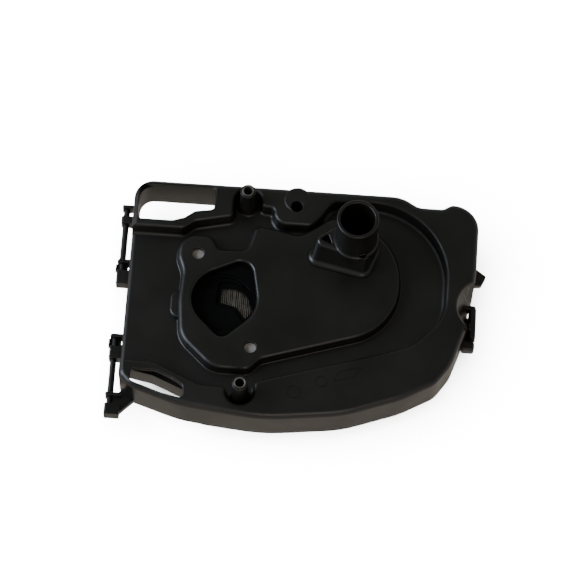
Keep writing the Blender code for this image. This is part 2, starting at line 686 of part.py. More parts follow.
def make_latch():
    near, far = (edge * KY for edge in LATCH_SPAN)
    hollow = LATCH_PIN / 2 + GAP
    lever = bar("latch_lever", LATCH_X, LATCH_UP, hollow + LATCH_WALL, near, far, 24)
    blade = [(LATCH_X - 0.7, LATCH_UP), (LATCH_X - 0.7, -2.6), (LATCH_X - 2.8, -3.6), (LATCH_X - 2.6, -4.6),
             (LATCH_X + 0.5, -5.4), (LATCH_X + 1.0, -4.4), (LATCH_X + 1.0, LATCH_UP + 1.2),
             (LATCH_X + 1.7, LATCH_UP + 2.8), (LATCH_X + 1.7, LATCH_UP + 4.0),
             (LATCH_X - 0.9, LATCH_UP + 4.4), (LATCH_X - 0.9, LATCH_UP + 3.2),
             (LATCH_X - 0.6, LATCH_UP + 1.6)]
    join(lever, prism("blade", blade, near, far))
    middle = (near + far) / 2
    slot_half, slot_high = 2.6, 2.7
    cut(lever, box("slot", LATCH_X - 4, LATCH_X + 4, middle - slot_half, middle + slot_half,
                   LATCH_UP - slot_high, LATCH_UP + slot_high))
    cut(lever, bar("hole", LATCH_X, LATCH_UP, hollow, near + 1, far - 1, 20))
    bar("latch_pin", LATCH_X, LATCH_UP, LATCH_PIN / 2, -49.0 * KY, -69.2 * KY, 20)
    make_spring(middle)


def make_spring(middle):
    """Torsion coil round the latch pin, in the lever's slot."""
    turns = 4
    steps = 12
    sides = 6
    radius = LATCH_PIN / 2 + GAP + SPRING_WIRE / 2
    count = turns * steps
    points = []
    for index in range(count + 1):
        turn = 2 * math.pi * index / steps
        y = middle + (index / count - 0.5) * 4.2
        for side in range(sides):
            way = 2 * math.pi * side / sides
            reach = radius + SPRING_WIRE / 2 * math.cos(way)
            points.append((LATCH_X + reach * math.cos(turn), y + SPRING_WIRE / 2 * math.sin(way),
                           LATCH_UP + reach * math.sin(turn)))
    faces = [tuple(range(sides)), tuple(range(count * sides, (count + 1) * sides))[::-1]]
    for index in range(count):
        low = index * sides
        for side in range(sides):
            after = (side + 1) % sides
            faces.append((low + side, low + sides + side, low + sides + after, low + after))
    spring = solid("latch_spring", points, faces)
    if volume(spring) < 0:
        turned_over(spring)


MATERIALS = {
    "base_shell": "black_nylon", "breather_spigot": "black_nylon", "breather_seal": "seal_rubber",
    "intake_horn": "black_nylon", "horn_seal": "seal_rubber", "stud_seal_rear": "pale_foam",
    "stud_seal_front": "pale_foam", "screw_sleeve_rear": "zinc_steel",
    "screw_sleeve_front": "zinc_steel", "hinge_bar_rear": "black_nylon", "hinge_bar_front": "black_nylon",
    "filter_seal_frame": "filter_urethane", "filter_pleats": "filter_paper", "filter_screen": "zinc_steel",
    "foam_prefilter": "grey_foam", "prefilter_grid": "black_nylon", "cover_shell": "black_nylon",
    "cover_gasket": "seal_rubber", "latch_lever": "black_nylon", "latch_pin": "zinc_steel",
    "latch_spring": "zinc_steel",
}
COVER_PIECES = ("cover_shell", "cover_gasket")


def material_for(name, colour):
    made = bpy.data.materials.new(name + "_material")
    made.use_nodes = True
    shader = made.node_tree.nodes["Principled BSDF"]
    shader.inputs["Base Color"].default_value = colour
    shader.inputs["Roughness"].default_value = 0.5
    shader.inputs["Metallic"].default_value = 1.0 if "steel" in MATERIALS[name] else 0.0
    return made


def finish():
    """Puts the origin under the middle of the box, sets joint origins, and gives each piece its material."""
    pieces = [bpy.data.objects[name] for name in MATERIALS]
    points = np.concatenate([[tuple(v.co) for v in piece.data.vertices] for piece in pieces])
    low, high = points.min(axis=0), points.max(axis=0)
    shift = np.array(((low[0] + high[0]) / 2, (low[1] + high[1]) / 2, low[2]))
    hinge = np.array((-PIN_OUT * MM, (low[1] + high[1]) / 2, PIN_UP * MM))
    latch = np.array((LATCH_X * MM, sum(LATCH_SPAN) / 2 * KY * MM, LATCH_UP * MM))
    for piece in pieces:
        origin = hinge if piece.name in COVER_PIECES else latch if piece.name == "latch_lever" else shift
        piece.data.transform(Matrix.Translation(-origin))
        piece.location = tuple(origin - shift)
        piece.data.materials.clear()
        piece.data.materials.append(material_for(piece.name, COLOURS[MATERIALS[piece.name]]))
        piece.data.shade_smooth()
        piece.data.set_sharp_from_angle(angle=math.radians(34))
    bpy.context.view_layer.update()


def main():
    for item in list(bpy.data.objects):
        bpy.data.objects.remove(item)
    make_base()
    make_spigot()
    make_horn()
    make_sleeves()
    make_filter()
    make_bars()
    make_cover()
    make_latch()
    finish()


main()
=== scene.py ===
"""Looks of the air filter housing: moulded base, breather spigot, panel filter, hinged cover and latch.

Lengths are in millimetres in the moulding's own plan until a mesh is made: X runs from the hinge wall to the
latch, Y away from the curved wall, Z up from the rim's foot. Every finished piece holds its place in its
mesh.
"""

import logging
import math
from collections.abc import Sequence
from dataclasses import dataclass, field
from enum import Enum

import bmesh
import bpy
import numpy as np
from mathutils import Matrix, Vector

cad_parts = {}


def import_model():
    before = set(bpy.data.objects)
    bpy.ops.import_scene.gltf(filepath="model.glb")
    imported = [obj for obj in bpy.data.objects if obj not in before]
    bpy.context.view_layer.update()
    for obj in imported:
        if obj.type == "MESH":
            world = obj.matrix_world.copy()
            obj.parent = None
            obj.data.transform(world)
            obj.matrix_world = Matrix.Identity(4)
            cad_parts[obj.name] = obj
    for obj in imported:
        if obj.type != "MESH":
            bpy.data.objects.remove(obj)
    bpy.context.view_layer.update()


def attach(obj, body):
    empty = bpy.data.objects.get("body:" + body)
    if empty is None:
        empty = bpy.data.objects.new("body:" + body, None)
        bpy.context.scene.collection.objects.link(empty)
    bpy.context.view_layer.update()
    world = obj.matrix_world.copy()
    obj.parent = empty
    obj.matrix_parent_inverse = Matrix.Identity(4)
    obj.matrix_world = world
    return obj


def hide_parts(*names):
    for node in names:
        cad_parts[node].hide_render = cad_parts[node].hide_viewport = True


LOG = logging.getLogger("air_filter_housing")
MM = 0.001
# Where the plan's own zero lies in the frame
PLACE = np.array((-80.7, 57.84, 15.0))

Corners = Sequence[tuple[float, float, float]]
Ring = tuple[np.ndarray, float]
Profile = Sequence[tuple[float, float]]


class Body(Enum):
    """The bodies that pieces ride on."""

    BASE = "base"
    COVER = "cover"
    LATCH = "latch"


class Side(Enum):
    """Whether a rounded edge is at the top or at the foot of a block."""

    TOP = "top"
    FOOT = "foot"
    BOTH = "both"


# ---------------- materials


def linear(code: str) -> tuple[float, float, float, float]:
    """Turns an sRGB hex colour into a linear one.

    Args:
        code: Six hex digits.

    Returns:
        Red, green, blue and an alpha of 1.
    """
    parts = [int(code[place:place + 2], 16) / 255 for place in (0, 2, 4)]
    values = [part / 12.92 if part <= 0.04045 else ((part + 0.055) / 1.055) ** 2.4 for part in parts]
    return (*values, 1.0)


def add_node(tree: bpy.types.NodeTree, kind: str, settings: dict | None = None,
             links: dict | None = None) -> bpy.types.Node:
    """Adds one node with its settings and links.

    Args:
        tree: The node tree that takes the node.
        kind: The node's type name.
        settings: Attribute names, or input numbers and names, with their values.
        links: Input numbers or names, with the output sockets that feed them.

    Returns:
        The node.
    """
    node = tree.nodes.new(kind)
    for key, value in (settings or {}).items():
        if isinstance(key, str) and hasattr(node, key):
            setattr(node, key, value)
        else:
            node.inputs[key].default_value = value
    for key, socket in (links or {}).items():
        tree.links.new(socket, node.inputs[key])
    return node


@dataclass(frozen=True)
class Finish:
    """A surface whose colour drifts in soft clouds and whose skin has one fine pattern."""

    name: str = "finish"
    deep: str = "101010"
    pale: str = "202020"
    cloud_mm: float = 20.0
    grain_mm: float = 0.5
    grain_depth_mm: float = 0.02
    grain_strength: float = 0.4
    rough: tuple[float, float] = (0.4, 0.5)
    ior: float = 1.5
    metallic: float = 0.0
    cells: bool = False

    def material(self) -> bpy.types.Material:
        """Builds the material.

        Returns:
            The material, named for the finish.
        """
        made = bpy.data.materials.new(self.name)
        made.use_nodes = True
        tree = made.node_tree
        tree.nodes.clear()
        shader = add_node(tree, "ShaderNodeBsdfPrincipled")
        add_node(tree, "ShaderNodeOutputMaterial", links={"Surface": shader.outputs["BSDF"]})
        place = add_node(tree, "ShaderNodeTexCoord").outputs["Object"]
        cloud = add_node(tree, "ShaderNodeTexNoise", {"Scale": 1 / (self.cloud_mm * MM), "Detail": 5.0},
                         {"Vector": place}).outputs["Fac"]
        grain = self.grain(tree, place)
        both = add_node(tree, "ShaderNodeMath", {"operation": "MULTIPLY_ADD", 1: 0.35},
                        {0: grain, 2: cloud}).outputs[0]
        colour = add_node(tree, "ShaderNodeValToRGB", links={"Fac": both})
        colour.color_ramp.elements[0].position = 0.42
        colour.color_ramp.elements[0].color = linear(self.deep)
        colour.color_ramp.elements[1].position = 0.92
        colour.color_ramp.elements[1].color = linear(self.pale)
        spread = {"From Min": 0.35, "From Max": 0.65, "To Min": self.rough[0], "To Max": self.rough[1]}
        rough = add_node(tree, "ShaderNodeMapRange", spread, {"Value": cloud})
        bump = add_node(tree, "ShaderNodeBump", {"Strength": self.grain_strength,
                                                 "Distance": self.grain_depth_mm * MM}, {"Height": grain})
        tree.links.new(colour.outputs["Color"], shader.inputs["Base Color"])
        tree.links.new(rough.outputs["Result"], shader.inputs["Roughness"])
        tree.links.new(bump.outputs["Normal"], shader.inputs["Normal"])
        shader.inputs["Metallic"].default_value = self.metallic
        if not self.metallic:
            shader.inputs["IOR"].default_value = self.ior
        return made

    def grain(self, tree: bpy.types.NodeTree, place: bpy.types.NodeSocket) -> bpy.types.NodeSocket:
        """Adds the fine pattern.

        Args:
            tree: The material's tree.
            place: The coordinates to read.

        Returns:
            The pattern's height, from 0 to 1.
        """
        settings = {"Scale": 1 / (self.grain_mm * MM)}
        if self.cells:
            return add_node(tree, "ShaderNodeTexVoronoi", settings, {"Vector": place}).outputs["Distance"]
        settings["Detail"] = 3.0
        return add_node(tree, "ShaderNodeTexNoise", settings, {"Vector": place}).outputs["Fac"]


# Glass-filled nylon from a spark-eroded tool: a satin black skin, drawn with a grain coarser than real so
# that it shows
MOULDED_NYLON = Finish("moulded_black_nylon", "0d0d0a", "171612", 30.0, 0.5, 0.012, 0.25, (0.3, 0.42), 1.5)
# Inside faces of the same moulding: rougher where the core of the tool was left rough, and coloured darker
# than the outer skin as painted shade for the deep well under the throat
SHADED_DULL_NYLON = Finish("dull_black_nylon", "020202", "060606", 18.0, 0.8, 0.02, 0.4, (0.5, 0.62), 1.2)
# Nitrile seals: soft, dull and slightly dusty
SEAL_RUBBER = Finish("nitrile_seal_rubber", "0d0d0d", "1c1b1a", 8.0, 0.3, 0.02, 0.5, (0.62, 0.75), 1.52)
# Zinc-plated steel: cool grey with a mottled shine
ZINC_STEEL = Finish("zinc_plated_steel", "74726d", "a3a19b", 3.0, 0.4, 0.008, 0.3, (0.3, 0.45), metallic=1.0)
# Resin-treated filter paper: warm buff with a felt of fibres
FILTER_PAPER = Finish("pleated_filter_paper", "a38f6c", "cdb98f", 6.0, 0.35, 0.03, 0.6, (0.85, 0.95), 1.45)
# Cast polyurethane rim: a dull orange-brown rubber with fine pores
URETHANE = Finish("cast_urethane_rim", "4a3a2c", "66513e", 9.0, 0.7, 0.05, 0.5, (0.55, 0.7), 1.5, cells=True)
# Open-cell foam oiled for dust: dark grey, all little cells
OPEN_FOAM = Finish("open_cell_foam", "1b1c1e", "4c4d50", 3.0, 1.3, 0.6, 0.9, (0.85, 0.95), 1.45, cells=True)
# Closed-cell foam, pale grey and matt: its pale colour stands in for the light that falls through the stud
# holes, a painted pool of light
PALE_FOAM_PAINTED_LIGHT = Finish("pale_closed_cell_foam", "8e8983", "b4afa8", 1.6, 0.35, 0.04, 0.5, (0.8, 0.9), 1.45,
                   cells=True)


class Shop:
    """Makes each finish once."""

    made: dict[str, bpy.types.Material] = {}

    @classmethod
    def finish(cls, finish: Finish) -> bpy.types.Material:
        """The material of a finish, made on its first use."""
        if finish.name not in cls.made:
            cls.made[finish.name] = finish.material()
        return cls.made[finish.name]


# ---------------- outlines


def area(points: np.ndarray) -> float:
    """Signed area of an outline, positive when anticlockwise."""
    x, y = points[:, 0], points[:, 1]
    return float((x * np.roll(y, -1) - y * np.roll(x, -1)).sum() / 2)


def rounded(corners: Corners, even: int = 0) -> np.ndarray:
    """Points of a polygon whose corners carry radii.

    Args:
        corners: x, y and radius of each corner.
        even: One count of arc pieces for every corner, or 0 to choose by sweep.

    Returns:
        The points, anticlockwise.
    """
    spots = [tuple(float(value) for value in corner) for corner in corners]
    points: list[np.ndarray] = []
    for index, (x, y, radius) in enumerate(spots):
        here = np.array((x, y))
        if radius == 0:
            points.append(here)
            continue
        before = np.array(spots[index - 1][:2]) - here
        after = np.array(spots[(index + 1) % len(spots)][:2]) - here
        before /= np.linalg.norm(before)
        after /= np.linalg.norm(after)
        opening = math.acos(float(np.clip(before @ after, -1, 1)))
        middle = here + (before + after) / np.linalg.norm(before + after) * radius / math.sin(opening / 2)
        first = here + before * radius / math.tan(opening / 2) - middle
        last = here + after * radius / math.tan(opening / 2) - middle
        start = math.atan2(first[1], first[0])
        sweep = (math.atan2(last[1], last[0]) - start + math.pi) % (2 * math.pi) - math.pi
        pieces = even or max(3, math.ceil(abs(math.degrees(sweep)) / (3.5 if radius > 8 else 8)))
        for step in range(pieces + 1):
            angle = start + sweep * step / pieces
            points.append(middle + radius * np.array((math.cos(angle), math.sin(angle))))
    outline = np.array(points)
    return outline if area(outline) > 0 else outline[::-1]


def grow(points: np.ndarray, distance: float) -> np.ndarray:
    """The outline moved outwards by the distance."""
    forward = np.roll(points, -1, axis=0) - points
    forward /= np.linalg.norm(forward, axis=1)[:, None]
    normal = np.stack((forward[:, 1], -forward[:, 0]), axis=1)
    mean = normal + np.roll(normal, 1, axis=0)
    return points + distance * mean * 2 / (mean ** 2).sum(axis=1)[:, None]


def quarter(steps: int) -> list[float]:
    """Angles that split a quarter turn into equal steps."""
    return [math.pi / 2 * step / steps for step in range(steps + 1)]


def easing(steps: int) -> list[tuple[float, float]]:
    """Shares of a rounded edge's radius at those angles: the first rises from 0 to 1, the second falls."""
    return [(1 - math.cos(angle), 1 - math.sin(angle)) for angle in quarter(steps)]


def circle(centre: Sequence[float], radius: float, count: int = 72) -> np.ndarray:
    """Points round a circle, anticlockwise."""
    turn = np.arange(count) * 2 * math.pi / count
    return np.stack((centre[0] + radius * np.cos(turn), centre[1] + radius * np.sin(turn)), axis=1)


def hull(circles: Corners, count: int = 96) -> np.ndarray:
    """Convex outline round a set of circles.

    Args:
        circles: x, y and radius of each.
        count: Points round each circle.

    Returns:
        The outline, anticlockwise.
    """
    cloud = np.concatenate([circle((x, y), radius, count) for x, y, radius in circles])
    cloud = cloud[np.lexsort((cloud[:, 1], cloud[:, 0]))]

    def chain(points: np.ndarray) -> list[np.ndarray]:
        kept: list[np.ndarray] = []
        for point in points:
            while len(kept) > 1:
                a, b = kept[-1] - kept[-2], point - kept[-2]
                if a[0] * b[1] - a[1] * b[0] > 1e-9:
                    break
                kept.pop()
            kept.append(point)
        return kept[:-1]

    return np.array(chain(cloud) + chain(cloud[::-1]))


def span_at(points: np.ndarray, x: float) -> tuple[float, float]:
    """Lowest and highest y where an outline crosses the upright line at x."""
    after = np.roll(points, -1, axis=0)
    crossing = (points[:, 0] - x) * (after[:, 0] - x) < 0
    a, b = points[crossing], after[crossing]
    y = a[:, 1] + (b[:, 1] - a[:, 1]) * (x - a[:, 0]) / (b[:, 0] - a[:, 0])
    return float(y.min()), float(y.max())


# ---------------- meshes


def solid(name: str, points: Sequence, faces: Sequence) -> bpy.types.Object:
    """Makes a mesh object from plan points, turned the right way out."""
    mesh = bpy.data.meshes.new(name)
    placed = (np.array(points, float) + PLACE) * MM
    mesh.from_pydata([tuple(point) for point in placed], [], faces)
    mesh.update()
    made = bpy.data.objects.new(name, mesh)
    bpy.context.scene.collection.objects.link(made)
    if volume(made) < 0:
        mesh.flip_normals()
    return made


def volume(made: bpy.types.Object) -> float:
    """Signed volume, in no set unit, of a closed mesh."""
    made.data.calc_loop_triangles()
    points = np.array([tuple(vertex.co) for vertex in made.data.vertices]) - tuple(made.data.vertices[0].co)
    return float(np.linalg.det(points[[tuple(t.vertices) for t in made.data.loop_triangles]]).sum())


def loft(name: str, rings: Sequence[Ring]) -> bpy.types.Object:
    """Closed body through rings of (points, z), listed upwards."""
    count = len(rings[0][0])
    points = [(x, y, z) for ring, z in rings for x, y in ring]
    faces: list[tuple[int, ...]] = [tuple(range(count))[::-1],
                                    tuple(range((len(rings) - 1) * count, len(rings) * count))]
    for level in range(len(rings) - 1):
        low = level * count
        for index in range(count):
            after = (index + 1) % count
            faces.append((low + index, low + after, low + count + after, low + count + index))
    return solid(name, points, faces)


def tube(name: str, rings: Sequence[Ring]) -> bpy.types.Object:
    """Closed body whose section is a loop of rings of (points, z)."""
    count = len(rings[0][0])
    points = [(x, y, z) for ring, z in rings for x, y in ring]
    faces = []
    for level in range(len(rings)):
        low = level * count
        high = (level + 1) % len(rings) * count
        for index in range(count):
            after = (index + 1) % count
            faces.append((low + index, low + after, high + after, high + index))
    return solid(name, points, faces)


def block(name: str, points: np.ndarray, low: float, high: float, soft: float = 0.0,
          side: Side = Side.TOP, steps: int = 6) -> bpy.types.Object:
    """Upright block with rounded edges.

    Args:
        name: The piece's name.
        points: Its outline.
        low: Its foot.
        high: Its top.
        soft: Radius of the rounded edges.
        side: Which edges are rounded.
        steps: Pieces in each quarter turn.

    Returns:
        The block.
    """
    turns = easing(steps)
    rings: list[Ring] = [(points, low)]
    if soft and side is not Side.TOP:
        rings = [(grow(points, -soft * fall), low + soft * rise) for rise, fall in turns]
    if soft and side is not Side.FOOT:
        rings += [(grow(points, -soft * rise), high - soft * fall) for rise, fall in turns]
    else:
        rings.append((points, high))
    return loft(name, rings)


def mouth(name: str, points: np.ndarray, low: float, high: float, flare: float, foot: float = 0.0,
          steps: int = 6) -> bpy.types.Object:
    """Cutter whose mouth flares out at the top and whose floor is filleted at the foot."""
    turns = easing(steps)
    rings: list[Ring] = [(points, low)]
    if foot:
        rings = [(grow(points, -foot * fall), low + foot * rise) for rise, fall in turns]
    rings += [(grow(points, flare * rise), high - flare * fall) for rise, fall in turns]
    rings.append((grow(points, flare + 0.01), high + 4))
    return loft(name, rings)


def turned(name: str, centre: Sequence[float], profile: Profile, count: int = 72) -> bpy.types.Object:
    """Solid of revolution about an upright axis; the profile is a closed loop of (radius, z)."""
    size = len(profile)
    points, faces = [], []
    for index in range(count):
        turn = 2 * math.pi * index / count
        points += [(centre[0] + r * math.cos(turn), centre[1] + r * math.sin(turn), z) for r, z in profile]
        here, there = index * size, (index + 1) % count * size
        faces += [(here + s, there + s, there + (s + 1) % size, here + (s + 1) % size) for s in range(size)]
    return solid(name, points, faces)


def prism(name: str, outline: Profile, near: float, far: float, soft: float = 0.0) -> bpy.types.Object:
    """Prism along Y from an outline of (x, z) points, with its end edges eased.

    Args:
        name: The piece's name.
        outline: The section.
        near: One end.
        far: The other end.
        soft: Radius of the end edges.

    Returns:
        The prism.
    """
    section = np.array(outline, float)
    if area(section) < 0:
        section = section[::-1]
    low, high = sorted((near, far))
    rows = [(section, low), (section, high)]
    if soft:
        turns = easing(3)
        rows = [(grow(section, -soft * fall), low + soft * rise) for rise, fall in turns]
        rows += [(grow(section, -soft * rise), high - soft * fall) for rise, fall in turns]
    count = len(section)
    points = [(x, y, z) for row, y in rows for x, z in row]
    last = (len(rows) - 1) * count
    faces: list[tuple[int, ...]] = [tuple(range(count)), tuple(range(last, last + count))[::-1]]
    for level in range(len(rows) - 1):
        first = level * count
        for index in range(count):
            after = (index + 1) % count
            faces.append((first + index, first + count + index, first + count + after, first + after))
    return solid(name, points, faces)


def rod(name: str, x: float, z: float, radius: float, near: float, far: float, soft: float = 0.0,
        count: int = 40) -> bpy.types.Object:
    """Round bar along Y."""
    return prism(name, circle((x, z), radius, count), near, far, soft)


def boolean(target: bpy.types.Object, tool: bpy.types.Object, operation: str) -> bpy.types.Object:
    """Applies an exact Boolean and removes the tool."""
    modifier = target.modifiers.new("boolean", "BOOLEAN")
    modifier.operation = operation
    modifier.solver = "EXACT"
    modifier.object = tool
    mesh = bpy.data.meshes.new_from_object(target.evaluated_get(bpy.context.evaluated_depsgraph_get()))
    target.modifiers.clear()
    target.data = mesh
    bpy.data.objects.remove(tool)
    return target


def cut(target: bpy.types.Object, tool: bpy.types.Object) -> bpy.types.Object:
    """Cuts the tool out of the target."""
    return boolean(target, tool, "DIFFERENCE")


def join(target: bpy.types.Object, tool: bpy.types.Object) -> bpy.types.Object:
    """Joins the tool to the target."""
    return boolean(target, tool, "UNION")


def gather(target: bpy.types.Object, extra: bpy.types.Object) -> bpy.types.Object:
    """Adds the extra's closed bodies to the target's mesh as they are."""
    both = bmesh.new()
    both.from_mesh(target.data)
    both.from_mesh(extra.data)
    both.to_mesh(target.data)
    both.free()
    bpy.data.objects.remove(extra)
    return target


def bored(target: bpy.types.Object, centre: Sequence[float], radius: float, low: float, high: float,
          ease: float = 0.0) -> bpy.types.Object:
    """Cuts an upright round hole, eased at its top edge where ease is set."""
    if ease:
        return cut(target, mouth("bore", circle(centre, radius, 56), low, high, ease, steps=3))
    return cut(target, block("bore", circle(centre, radius, 56), low, high))


def present(made: bpy.types.Object, finish: Finish, body: Body, slot: str, *nodes: str,
            sharp: float = 32.0) -> bpy.types.Object:
    """Shades a finished piece, dresses it, and hands it to the frame.

    Args:
        made: The piece.
        finish: Its finish.
        body: The body that it rides on.
        slot: The record's material slot; not used.
        *nodes: The CAD nodes that it stands for.
        sharp: Edges steeper than this many degrees stay sharp.

    Returns:
        The piece.
    """
    made.data.materials.clear()
    made.data.materials.append(Shop.finish(finish))
    made.data.shade_smooth()
    made.data.set_sharp_from_angle(angle=math.radians(sharp))
    weighted = made.modifiers.new("even_shading", "WEIGHTED_NORMAL")
    weighted.keep_sharp = True
    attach(made, body.value)
    if nodes:
        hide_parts(*nodes)
    LOG.info("%s: %d faces", made.name, len(made.data.polygons))
    return made


class Rows:
    """Geometry Nodes that lay equal bars side by side: wires, grid bars and grip ridges."""

    @staticmethod
    def tree() -> bpy.types.NodeTree:
        """Builds the node tree once.

        Returns:
            The tree, whose inputs are Count, Pitch, Size, Start and Material.
        """
        found = bpy.data.node_groups.get("rows_of_bars")
        if found:
            return found
        tree = bpy.data.node_groups.new("rows_of_bars", "GeometryNodeTree")
        face = tree.interface
        face.new_socket("Geometry", in_out="OUTPUT", socket_type="NodeSocketGeometry")
        for name, kind in (("Count", "Int"), ("Pitch", "Vector"), ("Size", "Vector"), ("Start", "Vector"),
                           ("Material", "Material")):
            face.new_socket(name, in_out="INPUT", socket_type="NodeSocket" + kind)
        given = add_node(tree, "NodeGroupInput").outputs
        line = add_node(tree, "GeometryNodeMeshLine", links={
            "Count": given["Count"], "Start Location": given["Start"], "Offset": given["Pitch"]})
        bar = add_node(tree, "GeometryNodeMeshCube", links={"Size": given["Size"]})
        laid = add_node(tree, "GeometryNodeInstanceOnPoints", links={"Points": line.outputs["Mesh"],
                                                                     "Instance": bar.outputs["Mesh"]})
        real = add_node(tree, "GeometryNodeRealizeInstances", links={"Geometry": laid.outputs["Instances"]})
        dressed = add_node(tree, "GeometryNodeSetMaterial", links={"Geometry": real.outputs["Geometry"],
                                                                   "Material": given["Material"]})
        add_node(tree, "NodeGroupOutput", links={"Geometry": dressed.outputs["Geometry"]})
        return tree

    @classmethod
    def lay(cls, name: str, count: int, pitch: Sequence[float], size: Sequence[float], start: Sequence[float],
            finish: Finish) -> bpy.types.Object:
        """Lays one row and bakes it to a plain mesh.

        Args:
            name: The row's name.
            count: How many bars.
            pitch: Step from one bar to the next.
            size: Size of a bar.
            start: Middle of the first bar, in the plan.
            finish: The bars' finish.

        Returns:
            The baked row.
        """
        made = bpy.data.objects.new(name, bpy.data.meshes.new(name))
        bpy.context.scene.collection.objects.link(made)
        modifier = made.modifiers.new("rows", "NODES")
        tree = cls.tree()
        modifier.node_group = tree
        values = {"Count": count, "Pitch": np.array(pitch) * MM, "Size": np.array(size) * MM,
                  "Start": (np.array(start) + PLACE) * MM, "Material": Shop.finish(finish)}
        for item in tree.interface.items_tree:
            if item.in_out == "INPUT":
                value = values[item.name]
                if isinstance(value, np.ndarray):
                    value = tuple(map(float, value))
                modifier[item.identifier] = value
        graph = bpy.context.evaluated_depsgraph_get()
        mesh = bpy.data.meshes.new_from_object(made.evaluated_get(graph))
        made.modifiers.clear()
        made.data = mesh
        return made


# ---------------- the plan

TOP = 21.0
WALL = 2.2
PLATE = 2.2
RECESS = 13.0
PLATEAU = 19.0
FLOOR_UNDER = RECESS - PLATE
COVER_FOOT = -15.0
FLANGE_TOP = -1.7
FLANGE_UNDER = -3.4
GAP = 0.3
FIT = 0.12
THROAT = (45.9, -57.5)
SPIGOT = (105.3, -28.0)
LOCATOR = (76.8, -9.5)
STUDS = {"rear": (32.1, -35.9), "front": (59.6, -81.4)}
BOSSES = {"rear": (53.6, -7.9), "front": (56.4, -104.2)}
PIN_X, PIN_Z, PIN_RADIUS = -3.8, 3.5, 1.5
LATCH_X, LATCH_Z, LATCH_RADIUS = 162.3, 4.6, 0.8
HINGE_LUGS = {
    "rear": ((-8.0, -9.6), (-13.8, -17.4), (-36.2, -37.8), (-41.6, -48.6)),
    "front": ((-74.2, -75.8), (-80.3, -86.4), (-103.4, -105.0), (-108.8, -114.4)),
}
FILTER_EDGE = (
    (9, -27, 6), (60, -21.4, 30), (92, -9, 20), (143.4, -8.6, 33), (143.4, -62, 26), (128, -76, 20),
    (62, -95, 12), (40, -93, 14), (9, -76, 10),
)


def teardrop(extra: float = 0.0) -> np.ndarray:
    """Outline of the throat, grown by extra."""
    x, y = THROAT
    return hull([(x, y, 15 + extra), (45.8, -72, 4.5 + extra), (52.5, -44.5, 6 + extra)])


def spigot_turn(points: Sequence) -> np.ndarray:
    """Local points of the spigot, turned and placed on its axis."""
    turn = math.radians(-12)
    matrix = np.array(((math.cos(turn), math.sin(turn)), (-math.sin(turn), math.cos(turn))))
    return np.array(points) @ matrix + np.array(SPIGOT)


def spigot_foot(extra: float, lean: float = 0.0) -> np.ndarray:
    """Outline of the spigot's foot: a belt round two front corners, which lean back, and the tube.

    Args:
        extra: How far the outline is grown.
        lean: How far the front has leant back.

    Returns:
        The outline.
    """
    spots = [(-15.5 + 0.25 * lean, -9.3 + lean, 3 + extra), (5.5, -9.3 + 0.7 * lean, 3 + extra),
             (0.0, 0.0, 9.8 + extra)]
    ways = []
    for index, (x, y, radius) in enumerate(spots):
        after = spots[(index + 1) % 3]
        run = (after[0] - x, after[1] - y)
        ways.append(math.atan2(run[1], run[0]) - math.acos((radius - after[2]) / math.hypot(*run)))
    points = []
    for index, (x, y, radius) in enumerate(spots):
        sweep = (ways[index] - ways[index - 1]) % (2 * math.pi)
        for step in range(21):
            way = ways[index - 1] + sweep * step / 20
            points.append((x + radius * math.cos(way), y + radius * math.sin(way)))
    return spigot_turn(points)


def bar_span(loop: str) -> tuple[float, float]:
    """Ends of a hinge loop's bar."""
    lugs = HINGE_LUGS[loop]
    return lugs[-1][1] + 1.2, lugs[0][0] - 0.6


# ---------------- the base


